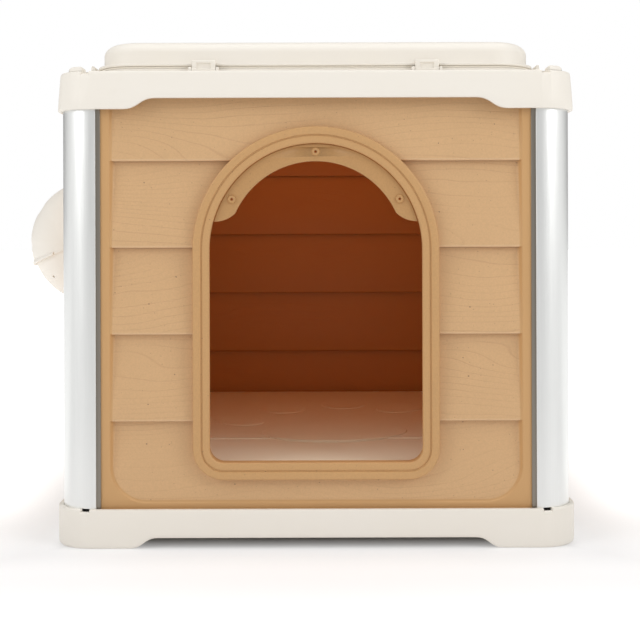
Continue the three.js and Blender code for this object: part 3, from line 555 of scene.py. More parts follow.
IVORY = ivory_finish("ivory_plastic", (0.86, 0.815, 0.745))
# The floor board's ivory is warmer and brighter than the rest: painted warm light, standing in for light
# bounced off the tan walls inside.
WARM_LIT_FLOOR_IVORY = ivory_finish("ivory_plastic_floor", (0.88, 0.80, 0.64))
TRIM = smooth_tan_finish("tan_plastic_trim", TRIM_TAN)
SHADED_PLATE_FINISH = smooth_tan_finish("tan_plastic_plate", SHADED_PLATE_TAN)
GRAINED = grained_tan_finish()
ALUMINIUM = aluminium_finish()
STEEL = steel_finish()
RUBBER = rubber_finish()


def hand_in(obj, body, slot, finish, *nodes):
    """The finished piece gets its material, rides on its body and stands for its CAD nodes."""
    obj.data.materials.clear()
    obj.data.materials.append(finish)
    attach(obj, body)
    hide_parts(*nodes)


# ---- Skirts: the wavy rims of the base and of the roof frame ----
# A rim is sampled at the same stations in every ring: on the corners by angle, on the sides by
# share of the straight length. Each station knows how far it lies up the arch between two feet
# (0 to 1) and whether it lies in a drain notch.
DRAIN_NEAR = 2.4  # degrees round the corner from the front or rear side
DRAIN_FAR = 15.7
DRAIN_EDGE = 0.4
DRAIN_DEPTH = 3.5
CORNER = POST_ROUND + OUTER_X - POST_X - GAP  # plan radius of the rims' corners
STRAIGHT_X = OUTER_X - CORNER
STRAIGHT_Y = OUTER_Y - CORNER
SLOPE_STEPS = 12
FOOT_END = 0.95  # share of the straight length


def s_curve(share):
    """Place along and height of a foot's slope, both from 0 to 1."""
    along = 1.5 * share * (1 - share) + share ** 3
    return along, share * share * (3 - 2 * share)


def corner_stations():
    """(angle, in a drain) round a corner from the side wall (0) to the front or rear wall (90)."""
    start = 90 - DRAIN_FAR
    end = 90 - DRAIN_NEAR
    even = [90 * i / QUARTER for i in range(QUARTER + 1)]
    stations = [(angle, 0) for angle in even if not start - 1 < angle < end + 1]
    stations += [(start - DRAIN_EDGE, 0), (end + DRAIN_EDGE, 0)]
    stations += [(angle, 1) for angle in (start, (start + end) / 2, end)]
    return sorted(stations)


def side_stations(straight, half_span, shoulder, run):
    """Shares of the straight length, from one end to the other, and how high the arch is there."""
    outer = half_span - shoulder
    half = [(FOOT_END, 0)]
    for i in range(SLOPE_STEPS + 1):
        along, lift = s_curve(i / SLOPE_STEPS)
        half.append(((outer - run * along) / straight, lift))
    half += [((outer - run) / straight * share, 1) for share in (0.66, 0.33)]
    return half + [(0, 1)] + [(-place, lift) for place, lift in reversed(half)]


def rim_ring(half_x, half_y, radius, height, shoulder, run):
    """One ring of a rim. height is a function of the arch's lift and of being in a drain."""
    x = half_x - radius
    y = half_y - radius
    across = side_stations(STRAIGHT_X, OUTER_X, shoulder, run)
    along = side_stations(STRAIGHT_Y, OUTER_Y, shoulder, run)
    ring = []
    for sign_x, sign_y in ((1, 1), (-1, 1), (-1, -1), (1, -1)):
        toward_end = sign_x == sign_y  # the corner is walked from the side wall on
        for angle, drain in corner_stations()[::1 if toward_end else -1]:
            turn = math.radians(angle)
            ring.append((sign_x * (x + radius * math.cos(turn)), sign_y * (y + radius * math.sin(turn)),
                         height(0, drain)))
        if toward_end:
            ring += [(sign_x * place * x, sign_y * half_y, height(lift, 0)) for place, lift in across]
        else:
            ring += [(sign_x * half_x, sign_y * place * y, height(lift, 0)) for place, lift in along]
    return ring


def rim_rings(profile, shoulder, run, arch):
    """profile is a list of (inset, z, share of the arch's rise, share of the drains' depth)."""
    rings = []
    for inset, z, arch_share, drain_share in profile:
        def height(lift, drain):
            return z + lift * arch * arch_share - drain * DRAIN_DEPTH * drain_share
        rings.append(rim_ring(OUTER_X - inset, OUTER_Y - inset, CORNER - inset, height, shoulder, run))
    return rings


# ---- Base ----
BASE_ARCH = 14
BASE_SHOULDER = 105
BASE_RUN = 38
DECK_THICK = 4
SKIRT_WALL = OUTER_X - POST_X - GAP
FOOT_WALL = 7
RIB_HALF = 2
REST_PAD = 25


def port_places():
    return [(sx * (POST_X - PORT_INSET), sy * (POST_Y - PORT_INSET)) for sx in (-1, 1) for sy in (-1, 1)]


def port_holes(low, high):
    return [bar("hole", "z", SCREW_HOLE, low, high, (x, y, 0), 24) for x, y in port_places()]


def base_tray():
    deck_low = DECK_TOP - DECK_THICK
    tray = loft("base", rim_rings([
        (SKIRT_WALL + 1, DECK_TOP, 0, 0),
        (SKIRT_WALL, DECK_TOP + 0.5, 0, 0),
        (SKIRT_WALL, BASE_TOP - 0.8, 0, 1),
        (SKIRT_WALL - 0.25, BASE_TOP - 0.25, 0, 1),
        (SKIRT_WALL - 0.8, BASE_TOP, 0, 1),
        (1.9, BASE_TOP, 0, 1),
        (1.0, BASE_TOP - 0.3, 0, 1),
        (0.3, BASE_TOP - 1.0, 0, 1),
        (0, BASE_TOP - 2.1, 0, 1),
        (0, BASE_TOP - 7, 0, 0),
        (0, 26, 0.3, 0),
        (0, 6, 1, 0),
        (0.35, 3.2, 1, 0),
        (1.2, 1.1, 1, 0),
        (2.4, 0.2, 1, 0),
        (3.4, 0, 1, 0),
        (FOOT_WALL - 0.8, 0, 1, 0),
        (FOOT_WALL - 0.2, 0.3, 1, 0),
        (FOOT_WALL, 1.0, 1, 0),
        (FOOT_WALL, deck_low - 1.5, 0, 0),
        (FOOT_WALL + 1.5, deck_low, 0, 0),
    ], BASE_SHOULDER, BASE_RUN, BASE_ARCH))
    rib_low = BASE_ARCH + 6
    rib_high = deck_low + 1
    reach_x = OUTER_X - FOOT_WALL + 1
    reach_y = OUTER_Y - FOOT_WALL + 1
    join(tray,
         block("rib_across", (-reach_x, -RIB_HALF, rib_low), (reach_x, RIB_HALF, rib_high), 0.5),
         block("rib_along", (-RIB_HALF, -reach_y, rib_low), (RIB_HALF, reach_y, rib_high), 0.5),
         block("rest_pad", (-REST_PAD, -REST_PAD, 0), (REST_PAD, REST_PAD, rib_high), 0.8))
    cut(tray, *port_holes(30, DECK_TOP + 5))
    hand_in(tray, "cabin", "ivory_plastic", IVORY, "base_tray")


# ---- Posts ----
def post_outline():
    """The section with its outer corner at (0, 0) and its arms along +x and +y, and its hollow."""
    lip_end = POST_ARM + LIP_REACH
    slot_end = SLOT_START + SLOT_WIDTH
    slot_bottom = lip_end - SLOT_DEPTH
    inner = slot_end + POST_WALL
    half = [(POST_ARM - 0.5, 0), (POST_ARM, 0.5), (POST_ARM, LIP_SETBACK), (lip_end - 0.5, LIP_SETBACK),
            (lip_end, LIP_SETBACK + 0.5), (lip_end, SLOT_START), (slot_bottom, SLOT_START),
            (slot_bottom, slot_end), (lip_end, slot_end), (lip_end, inner), (slot_bottom, inner)]
    mirrored = [(y, x) for x, y in reversed(half)]
    outline = half + mirrored + arc(POST_ROUND, POST_ROUND, POST_ROUND, 180, 270, 2 * QUARTER)
    core_end = slot_bottom - POST_WALL
    core_side = inner - 0.8
    core = arc(POST_ROUND, POST_ROUND, POST_ROUND - POST_WALL, 182, 268, QUARTER)
    core += [(core_end, POST_WALL), (core_end, core_side), (core_side, core_end), (POST_WALL, core_end)]
    return outline, core


def posts():
    weep = (WEEP_MIDDLE - WEEP_WIDTH / 2, WEEP_MIDDLE + WEEP_WIDTH / 2)
    through = (-1, 6)
    for name, (sx, sy) in CORNERS.items():
        outlines = [[(sx * (POST_X - u), sy * (POST_Y - v)) for u, v in shape] for shape in post_outline()]
        post = plate("corner_post_" + name, outlines, POST_Z1 - POST_Z0,
                     place=Matrix.Translation((0, 0, POST_Z0)))
        middle = (sx * (POST_X - PORT_INSET), sy * (POST_Y - PORT_INSET), 0)
        port = [(SCREW_HOLE, POST_Z0), (PORT_RADIUS, POST_Z0), (PORT_RADIUS, POST_Z1), (SCREW_HOLE, POST_Z1)]
        join(post, turned("port", port, "z", middle, 32))
        for u, v in ((weep, through), (through, weep)):
            xs = sorted(sx * (POST_X - value) for value in u)
            ys = sorted(sy * (POST_Y - value) for value in v)
            cut(post, block("weep", (xs[0], ys[0], POST_Z0 - 1), (xs[1], ys[1], BASE_TOP), 0.2))
        # Marks the lip deep in the groove, which the material paints dark grey as shade.
        groove = post.data.attributes.new("groove", "FLOAT", "POINT")
        for item, vertex in zip(groove.data, post.data.vertices):
            u = POST_X - abs(vertex.co.x) / MM
            v = POST_Y - abs(vertex.co.y) / MM
            item.value = float(min(u, v) > LIP_SETBACK / 2 and max(u, v) > POST_ARM - 0.6)
        hand_in(post, "cabin", "post_aluminium", ALUMINIUM, "post_" + name)


# ---- Wall panels ----
# A face of lapped boards: how deep each board's lower and upper edges lie behind the panel's
# face, and how high the first step between two boards is.
OUTER_FACE = (BOARD_LIP, BOARD_RECESS, FIRST_STEP)
INNER_FACE = (BOARD_BACK, BOARD_BACK_TOP, FIRST_STEP + BOARD_LAP)
WALL_SINKS = (0.7, 1.6, 2.6, 3.6, 4.6, 5.5, 6.0, 6.6, 7.4)  # rings up the wall round the boards
BORDER_START = 9.0
CORNER_STEPS = 12
COLUMNS = 28
FIELD_COLUMNS = 12


def board_depth(z, face):
    lower_edge, upper_edge, first = face
    along = (z - first) / BOARD_PITCH
    return lower_edge + (upper_edge - lower_edge) * (along - math.floor(along))


def board_rows(low, high, face, shares, under):
    """(depth, z) up a face. under lists (depth, drop) beneath each board's rounded lower edge."""
    lower_edge, upper_edge, first = face
    roundness = math.copysign(LIP_ROUND, upper_edge - lower_edge)
    rows = [(board_depth(low, face), low)]
    bottom = low
    for step in [first + i * BOARD_PITCH for i in range(BOARD_COUNT - 1)] + [high]:
        for share in shares:
            z = bottom + LIP_ROUND + (step - bottom - LIP_ROUND) * share
            rows.append((board_depth(z, face), z))
        if step != high:
            rows += [(depth, step - drop) for depth, drop in under]
            rows += [(lower_edge + roundness * s, step + LIP_ROUND * c) for s, c in rounding(5)]
        bottom = step
    rows.append((board_depth(high, face), high))
    return rows


def soft_min(a, b, blend):
    return (a + b - math.sqrt((a - b) ** 2 + blend * blend)) / 2


def soft_wall(inset):
    """Depth of the recess's sloping wall at a distance in from its outline, rounded at the top."""
    depth = inset * RECESS_SLOPE
    return (depth + math.sqrt(depth * depth + 1.4)) / 2


def panel_body(name, half, board_half, place):
    """A wall panel; place turns (along, depth, z) into a point of the house."""
    points = []
    faces = []

    def add(u, depth, z):
        points.append(place(u, depth, z))
        return len(points) - 1

    def strip(first, second):
        """Faces between two closed rows of as many points."""
        for i in range(len(first)):
            j = (i + 1) % len(first)
            faces.append((first[i], first[j], second[j], second[i]))

    # The boards, as rows across the recess that narrow round its lower corners.
    reach = board_half - RECESS_BAND
    corner = BOARD_CORNER - RECESS_BAND
    low = BOARD_BOTTOM + RECESS_BAND
    high = BOARD_TOP - RECESS_BAND
    under = ((board_depth(FIRST_STEP - 1.4, OUTER_FACE), 1.4), (BOARD_RECESS - 0.5, 0.4),
             (BOARD_RECESS - 1.5, 0), (BOARD_LIP + LIP_ROUND + 2.5, 0))
    profile = board_rows(low, high, OUTER_FACE, (0.25, 0.5, 0.75), under)
    curved = [low + corner * c for s, c in rounding(CORNER_STEPS)[1:]]
    lowest = [row for row in profile if row[1] < FIRST_STEP - 2]
    rows = sorted(lowest + [(board_depth(z, OUTER_FACE), z) for z in curved], key=lambda row: row[1])
    rows += profile[len(lowest):]
    grid = []
    for depth, z in rows:
        below = max(corner - (z - low), 0)
        width = reach - corner + math.sqrt(max(corner * corner - below * below, 0))
        grid.append([(width * (2 * i / COLUMNS - 1), depth, z) for i in range(COLUMNS + 1)])
    numbers = [[add(*point) for point in row] for row in grid]
    for r in range(len(rows) - 1):
        for i in range(COLUMNS):
            faces.append((numbers[r][i], numbers[r][i + 1], numbers[r + 1][i + 1], numbers[r + 1][i]))

    def outwards(r, i):
        """The way out of the recess at a point of its left or right edge."""
        u, depth, z = grid[r][i]
        if z >= low + corner - 1e-6:
            return math.copysign(1, u), 0
        way = (u - math.copysign(reach - corner, u), z - low - corner)
        size = math.hypot(*way)
        return way[0] / size, way[1] / size

    # The recess's edge, walked round once, with the way outwards at each point.
    last = len(rows) - 1
    edge = [(0, i, (0, -1)) for i in range(COLUMNS + 1)]
    edge += [(r, COLUMNS, outwards(r, COLUMNS)) for r in range(1, last)]
    edge += [(last, COLUMNS, (1, 1))]
    edge += [(last, i, (0, 1)) for i in range(COLUMNS - 1, 0, -1)]
    edge += [(last, 0, (-1, 1))]
    edge += [(r, 0, outwards(r, 0)) for r in range(last - 1, 0, -1)]
    previous = [numbers[r][i] for r, i, way in edge]
    for gone in WALL_SINKS + (BORDER_START,):
        current = []
        for r, i, (way_u, way_z) in edge:
            u, depth, z = grid[r][i]
            sunk = 0 if gone == BORDER_START else soft_min(depth, soft_wall(RECESS_BAND - gone), 0.8)
            current.append(add(u + way_u * gone, max(sunk, 0), z + way_z * gone))
        strip(previous, current)
        previous = current
    # The plain border out to the tongue's edge.
    border = []
    for r, i, (way_u, way_z) in edge:
        u, depth, z = grid[r][i]
        if way_z == 0:
            border.append((math.copysign(half, u), z))
        elif abs(way_z) == 1:
            border.append((math.copysign(half, u) if way_u else u, POST_Z1 if way_z > 0 else POST_Z0))
        else:
            middle_u = math.copysign(reach - corner, u)
            middle_z = low + corner
            far = min((half - abs(middle_u)) / abs(way_u), (middle_z - POST_Z0) / abs(way_z))
            border.append((middle_u + way_u * far, middle_z + way_z * far))
    for end in (-half, half):
        nearest = min(range(len(border)), key=lambda i: math.dist(border[i], (end, POST_Z0)))
        border[nearest] = (end, POST_Z0)
    front_edge = [add(u, 0, z) for u, z in border]
    strip(previous, front_edge)
    # The inner side: a raised field of lapped boards on the tongue's plate.
    field = board_half + INNER_RIM
    stations = [(-half, 0), (-field - 0.01, 0), (-field, 1)]
    stations += [(field * (2 * i / FIELD_COLUMNS - 1), 1) for i in range(1, FIELD_COLUMNS)]
    stations += [(field, 1), (field + 0.01, 0), (half, 0)]
    under = ((BOARD_BACK_TOP, 0.6), (BOARD_BACK_TOP + 0.8, 0))
    back = []
    for depth, z in board_rows(POST_Z0, POST_Z1, INNER_FACE, (0.35, 0.7), under):
        back.append([add(u, depth if raised else TONGUE, z) for u, raised in stations])
    for r in range(len(back) - 1):
        for i in range(len(stations) - 1):
            faces.append((back[r][i], back[r + 1][i], back[r + 1][i + 1], back[r][i + 1]))
    # The four narrow sides join the two.
    for axis, end, back_line in ((1, POST_Z0, back[0]), (1, POST_Z1, back[-1]),
                                 (0, -half, [row[0] for row in back]), (0, half, [row[-1] for row in back])):
        line = sorted((at[1 - axis], number) for number, at in zip(front_edge, border) if at[axis] == end)
        faces.append(tuple(number for _, number in line) + tuple(reversed(back_line)))
    return from_faces(name, points, faces)


def wall_place(side_wall, sign):
    """Turns (along, depth, z) on a wall into a point; sign is -1 for the front and left walls."""
    def place(u, depth, z):
        if side_wall:
            return (sign * (POST_X - PANEL_FACE - depth), u, z)
        return (u, sign * (POST_Y - PANEL_FACE - depth), z)
    return place


def paint_panel(obj, board_half, side_wall, sign):
    """Marks where the boards are, and which faces look into the house, where the material paints shade."""
    boards = obj.data.attributes.new("board", "FLOAT", "POINT")
    inside = obj.data.attributes.new("inside", "FLOAT", "CORNER")
    along, inwards = (1, 0) if side_wall else (0, 1)
    corner = BOARD_CORNER - RECESS_BAND / 2
    for item, vertex in zip(boards.data, obj.data.vertices):
        point = vertex.co / MM
        across = board_half - RECESS_BAND / 2 - abs(point[along])
        up = point.z - BOARD_BOTTOM - RECESS_BAND / 2
        on_board = across > 0 and up > 0
        if on_board and across < corner and up < corner:
            on_board = math.hypot(corner - across, corner - up) < corner
        item.value = float(on_board)
    wall = (POST_X if side_wall else POST_Y) - PANEL_FACE - TONGUE + 1
    for polygon in obj.data.polygons:
        within = polygon.center[inwards] / MM * sign < wall
        for loop in polygon.loop_indices:
            inside.data[loop].value = float(polygon.normal[inwards] * sign < -0.1 and within)


def door_outline(inset):
    half = DOOR_HALF - inset
    bottom = DOOR_BOTTOM + inset
    radius = DOOR_CORNER - inset
    return (arc(-half + radius, bottom + radius, radius, 180, 270, QUARTER)
            + arc(half - radius, bottom + radius, radius, 270, 360, QUARTER)
            + arc(0, DOOR_ARCH_Z, half, 0, 180, 5 * QUARTER))


def door_block(name, inset, start, end, edge=0.0):
    """A solid of the doorway's outline between two depths behind the panel's face."""
    return plate(name, [door_outline(inset)], end - start, edge, upright(PANEL_FACE - POST_Y + end))


def wall_panels():
    tongue_inset = POST_ARM + LIP_REACH - SLOT_DEPTH + GAP
    for name, side_wall, sign in (("front", False, -1), ("rear", False, 1),
                                  ("left", True, -1), ("right", True, 1)):
        end = POST_Y if side_wall else POST_X
        board_half = end - BOARD_INSET
        panel = panel_body(name + "_wall", end - tongue_inset, board_half, wall_place(side_wall, sign))
        if name == "front":
            join(panel, door_block("boss", -BOSS_WIDTH, BOARD_RECESS, BOSS_DEPTH, 1.0))
            cut(panel, door_block("seat", -GAP, -5, TRIM_SEAT + GAP),
                door_block("doorway", TRIM_WIDTH - TRIM_SLEEVE - GAP, -5, TRIM_SLEEVE_END + 5))
        if name == "left":
            face = PANEL_FACE - POST_X
            back = face + BOARD_BACK
            join(panel, bar("vent_boss", "x", VENT_BOSS, face, back, (0, 0, VENT_Z), FULL))
            cut(panel, bar("vent_hole", "x", VENT_BORE + 4, face - 5, back + 5, (0, 0, VENT_Z), FULL))
        paint_panel(panel, board_half, side_wall, sign)
        hand_in(panel, "cabin", "tan_plastic", GRAINED, name + "_panel")


# ---- Door trim and the plate for a flap ----
def door_trim():
    face = -TRIM_PROUD
    band = face + TRIM_STEP
    groove = TRIM_BAND + TRIM_GROOVE
    floor = face + TRIM_GROOVE_DEPTH
    profile = [(0, TRIM_SEAT), (0, face + 2.2), (0.3, face + 1.0), (1.0, face + 0.3), (2.2, face),
               (TRIM_BAND - 1.6, face), (TRIM_BAND - 0.6, face + 0.35), (TRIM_BAND - 0.1, face + 1.1),
               (TRIM_BAND, floor), (groove, floor),
               (groove + 0.1, band + 0.5), (groove + 0.5, band + 0.1), (groove + 1.2, band)]
    profile += [(TRIM_WIDTH - TRIM_INNER_ROUND * s, band + TRIM_INNER_ROUND * c) for s, c in rounding(6)]
    rear = TRIM_WIDTH - TRIM_DRAFT
    sleeve = TRIM_WIDTH - TRIM_SLEEVE
    profile += [(rear, TRIM_SLEEVE_END - 0.5), (rear - 0.5, TRIM_SLEEVE_END),
                (sleeve, TRIM_SLEEVE_END), (sleeve, TRIM_SEAT)]
    place = wall_place(False, -1)
    rings = [[place(u, depth, z) for u, z in door_outline(inset)] for inset, depth in profile]
    hand_in(loft("doorway_trim", rings, closed=True), "cabin", "tan_plastic", TRIM, "door_trim")


FLAP_WIDTH = 24.2
FLAP_RISE = 38.4
FLAP_LOBE = 39
FLAP_LOBE_INSET = 7.3
FLAP_THICK = 4
FLAP_BACK = 2  # the plate's back behind the panel's face
FLAP_HOLE = 1.7
FLAP_BOSS_INSET = 11.2
FLAP_BOSSES = (31, 90, 149)


def flap_plate():
    opening = DOOR_HALF - TRIM_WIDTH
    outer = opening - GAP
    inner = opening - FLAP_WIDTH
    lobe_x = opening - FLAP_LOBE_INSET
    lobe_up = FLAP_RISE + FLAP_LOBE
    lobe_z = DOOR_ARCH_Z + lobe_up
    outer_angle = math.degrees(math.asin(FLAP_RISE / outer))
    # The lobe's circle and the plate's inner one meet where the triangle of their centres says.
    to_lobe = math.hypot(lobe_x, lobe_up)
    share = (inner ** 2 - FLAP_LOBE ** 2 + to_lobe ** 2) / (2 * to_lobe)
    meet = math.degrees(math.atan2(lobe_up, lobe_x) - math.acos(share / inner))
    meet_x, meet_z = arc(0, DOOR_ARCH_Z, inner, meet, meet, 1)[0]
    lobe_start = math.degrees(math.atan2(meet_z - lobe_z, lobe_x - meet_x))
    outline = arc(0, DOOR_ARCH_Z, outer, outer_angle, 180 - outer_angle, 60)
    outline += arc(-lobe_x, lobe_z, FLAP_LOBE, 270, 360 + lobe_start, 14)[1:]
    outline += arc(0, DOOR_ARCH_Z, inner, 180 - meet, meet, 48)[1:-1]
    outline += arc(lobe_x, lobe_z, FLAP_LOBE, 180 - lobe_start, 270, 14)[:-1]
    places = [arc(0, DOOR_ARCH_Z, opening - FLAP_BOSS_INSET, angle, angle, 1)[0] for angle in FLAP_BOSSES]
    holes = [circle(x, z, FLAP_HOLE, 20) for x, z in places]
    wall = PANEL_FACE - POST_Y
    crescent = plate("flap_plate", [outline] + holes, FLAP_THICK, 0.9, upright(wall + FLAP_BACK))
    face = wall + FLAP_BACK - FLAP_THICK
    profile = [(FLAP_HOLE, 1.0), (6.6, 1.0), (6.0, -0.4), (5.5, -1.6), (5.3, -2.5), (4.7, -3.0),
               (2.5, -3.0), (1.9, -2.7), (FLAP_HOLE, -2.2)]
    join(crescent, *[turned("boss", profile, "y", (x, face, z), 40) for x, z in places])
    # Its material's deeper tone is painted shade, for the plate's place recessed behind the trim.
    hand_in(crescent, "cabin", "tan_plastic", SHADED_PLATE_FINISH, "flap_mount_plate")


# ---- Floor board ----
# Each pad of the paw relief: its middle, its half sizes in x and y, and its turn.
PAWS = ((30, -120, 118, 92, 12), (-132, -2, 40, 60, 22), (-62, 138, 42, 62, 6),
        (52, 190, 42, 62, -8), (152, 138, 40, 60, -22))
FLOOR_RELIEF = 1.5
FLOOR_CORNER = 20
FIELD_FRONT = -180
FIELD_REAR = 220


def floor_board():
    half_x = FLOOR_HIGH.x
    half_y = FLOOR_HIGH.y
    bottom = FLOOR_LOW.z
    top = FLOOR_HIGH.z - 2 * FLOOR_RELIEF
    crest = FLOOR_HIGH.z - FLOOR_RELIEF
    board = loft("floor_tray", [
        [(x, y, z) for x, y in rounded_rect(half_x - inset, half_y - inset, FLOOR_CORNER - min(inset, 18))]
        for inset, z in ((19, top), (3, top), (1.4, top - 0.3), (0.4, top - 1.3), (0, top - 3),
                         (0, bottom), (3.5, bottom), (3.5, top - 5.5), (19, top - 5.5))])
    raised = [block("field", (8 - half_x, FIELD_FRONT, top - 1), (half_x - 8, FIELD_REAR, crest), 0.9)]
    for x, y, a, b, turn in PAWS:
        place = Matrix.Translation((x, y, 0)) @ Matrix.Rotation(math.radians(turn), 4, "Z")
        rings = []
        for grow, z in ((0, top - 1), (0, crest + 0.3), (-0.4, crest + 0.9), (-1.2, FLOOR_HIGH.z - 0.2),
                        (-2.4, FLOOR_HIGH.z), (-8, FLOOR_HIGH.z)):
            ring = [Vector(((a + grow) * u, (b + grow) * v, z)) for u, v in circle(0, 0, 1, 64)]
            rings.append([place @ at for at in ring])
        raised.append(loft("pad", rings))
    join(board, *raised)
    join(board, block("rib", (2 - half_x, -RIB_HALF, bottom), (half_x - 2, RIB_HALF, top - 5), 0.4),
         block("rib", (-RIB_HALF, 2 - half_y, bottom), (RIB_HALF, half_y - 2, top - 5), 0.4))
    # Its warmer ivory is painted warm light from inside the house.
    hand_in(board, "cabin", "ivory_plastic", WARM_LIT_FLOOR_IVORY, "floor_board")


# ---- Roof frame ----
ROOF_ARCH = 14.9
ROOF_SHOULDER = 97
ROOF_RUN = 44
ROOF_DRAFT = 3.5
ROOF_EDGE = 3
ROOF_THICK = 5
FLANGE_REACH = 8
LID_X = LID_HIGH.x - FLANGE_REACH
LID_FRONT = -LID_LOW.y
LID_Y = LID_FRONT - FLANGE_REACH
LID_CORNER = 54
FLANGE_Z = ROOF_TOP + 13
FLANGE_THICK = 4
SEAL_THICK = 2.7
SEAT_WIDTH = 17
SEAT_INSIDE = 10
SEAT_TOP = FLANGE_Z - SEAL_THICK - 2 * GAP
RAIL_GAP = 1.3
RAIL_SETBACK = 34
HINGE_X = 170
HINGE_Y = LID_FRONT + 13
HINGE_Z = FLANGE_Z + 3
HINGE_HOLE = 2.75
EAR_THICK = 5
LATCH_X = 155.5
LATCH_Y = -(LID_FRONT + 8)
LATCH_Z = ROOF_TOP + 6
LATCH_HOLE = 1.85
LUG_THICK = 4
KNUCKLE_WIDTH = 29
LATCH_WIDTH = 33
SIDE_GAP = 0.8


def hinge_hole():
    return bar("hole", "x", HINGE_HOLE, -OUTER_X, OUTER_X, (0, HINGE_Y, HINGE_Z), 24)


def flanks(name, middle, width, thick, y, half_y, top, edge):
    """The two blocks on the roof that stand beside a hinge knuckle or a latch."""
    made = []
    for hand in (-1, 1):
        start = middle + hand * (width / 2 + SIDE_GAP)
        low, high = sorted((start, start + hand * thick))
        made.append(block(name, (low, y - half_y, ROOF_TOP - 1), (high, y + half_y, top), edge))
    return made


def roof_frame():
    skirt_z = ROOF_LOW.z
    rings = rim_rings([
        (SKIRT_WALL, skirt_z + 1.0, 1, 0),
        (SKIRT_WALL - 0.3, skirt_z + 0.3, 1, 0),
        (SKIRT_WALL - 1.0, skirt_z, 1, 0),
        (1.1, skirt_z, 1, 0),
        (0.35, skirt_z + 0.3, 1, 0),
        (0.05, skirt_z + 1.2, 1, 0),
        (0.9, skirt_z + 16, 0.6, 0),
        (ROOF_DRAFT - 0.6, ROOF_TOP - 12, 0, 0),
        (ROOF_DRAFT, ROOF_TOP - ROOF_EDGE - 1.2, 0, 1),
        (ROOF_DRAFT + 0.35, ROOF_TOP - ROOF_EDGE + 0.6, 0, 1),
        (ROOF_DRAFT + 1.2, ROOF_TOP - 0.8, 0, 1),
        (ROOF_DRAFT + ROOF_EDGE - 0.6, ROOF_TOP - 0.1, 0, 1),
        (ROOF_DRAFT + ROOF_EDGE + 0.8, ROOF_TOP, 0, 1),
        (18.4, ROOF_TOP, 0, 1),
        (18.8, ROOF_TOP, 0, 0),
    ], ROOF_SHOULDER, ROOF_RUN, ROOF_ARCH)
    # Level rings go on from the rim: up and over the lid's seat, down the hatch and out again below.
    under = ROOF_TOP - ROOF_THICK
    seat = SEAT_WIDTH - SEAT_INSIDE
    hatch = -SEAT_INSIDE
    lid = (LID_X, LID_Y, LID_CORNER)
    post = (POST_X, POST_Y, POST_ROUND)
    for shape, grow, z in ((lid, seat + 1, ROOF_TOP), (lid, seat, ROOF_TOP + 1), (lid, seat, SEAT_TOP - 0.8),
                           (lid, seat - 0.8, SEAT_TOP), (lid, hatch + 0.8, SEAT_TOP),
                           (lid, hatch, SEAT_TOP - 0.8), (lid, hatch, under + 0.8),
                           (lid, hatch + 0.8, under), (post, GAP - 1.5, under), (post, GAP, under - 1.5)):
        half_x, half_y, radius = (size + grow for size in shape)
        rings.append(rim_ring(half_x, half_y, radius, lambda lift, drain: z, ROOF_SHOULDER, ROOF_RUN))
    roof = loft("roof_rim", rings, closed=True)
    rail_x = LID_HIGH.x + RAIL_GAP
    rail_end = LID_Y - RAIL_SETBACK
    extras = []
    for side in (-1, 1):
        section = [(side * (rail_x + u), ROOF_TOP + z)
                   for u, z in ((0, -1), (8, -1), (8, 10), (6.5, 19), (4, 19), (0, 10))]
        extras.append(plate("rail", [section], 2 * rail_end, 0.7, upright(rail_end)))
        ears = flanks("ear", side * HINGE_X, KNUCKLE_WIDTH, EAR_THICK, HINGE_Y, 7, HINGE_Z + 7, 1.5)
        lugs = flanks("lug", side * LATCH_X, LATCH_WIDTH, LUG_THICK, LATCH_Y, 5, ROOF_TOP + 10, 1.2)
        extras += [ears[0], lugs[0], ears[1], lugs[1]]
    join(roof, *extras)
    cut(roof, hinge_hole(), bar("hole", "x", LATCH_HOLE, -OUTER_X, OUTER_X, (0, LATCH_Y, LATCH_Z), 24),
        *port_holes(ROOF_TOP - 10, ROOF_TOP + 1))
    hand_in(roof, "cabin", "ivory_plastic", IVORY, "roof_frame")


CAP_REACH_OUT = 7.2  # from the screw to the cap's outer side
CAP_REACH_IN = 16.5
CAP_HALF = 16
CAP_POCKET = 3.9
CAP_ROUND = 46.8
CAP_CENTRE = Vector((POST_ROUND - PORT_INSET, POST_ROUND - PORT_INSET))


def corner_caps():
    for name, (sx, sy) in CORNERS.items():
        x = sx * (POST_X - PORT_INSET)
        y = sy * (POST_Y - PORT_INSET)
        rings = []
        for z, drawn_in, leaned_in in ((GAP, 0, 0), (3.8, 0, 0.2), (4.6, 0.15, 2.0), (5.4, 0.5, 4.2),
                                       (6.1, 1.2, 6.3), (6.5, 2.4, 8.2)):
            near = drawn_in - CAP_REACH_IN
            far = CAP_REACH_OUT - leaned_in
            ring = []
            for u, v in rounded_rect((far - near) / 2, CAP_HALF - drawn_in, 4 - drawn_in, 12):
                # The corner towards the roof's own corner follows it.
                at = Vector((sx * u + (near + far) / 2, sy * v)) + CAP_CENTRE
                if min(at) > 0 and at.length > CAP_ROUND - drawn_in:
                    at *= (CAP_ROUND - drawn_in) / at.length
                at -= CAP_CENTRE
                ring.append((x + sx * at.x, y + sy * at.y, ROOF_TOP + z))
            rings.append(ring)
        cap = loft("roof_cap_" + name, rings)
        cut(cap, bar("pocket", "z", PORT_RADIUS, ROOF_TOP - 1, ROOF_TOP + CAP_POCKET, (x, y, 0), 32))
        hand_in(cap, "cabin", "ivory_plastic", IVORY, "corner_cap_" + name)


# ---- Lid, seal and latches ----
LID_ROUND_X = 24
LID_ROUND_Z = 17
LID_WALL_RISE = 20
LID_CROWN = 2.5
LID_WALL = 4
LID_TOP = FLANGE_Z + LID_WALL_RISE + LID_ROUND_Z
DOME_STEPS = 14


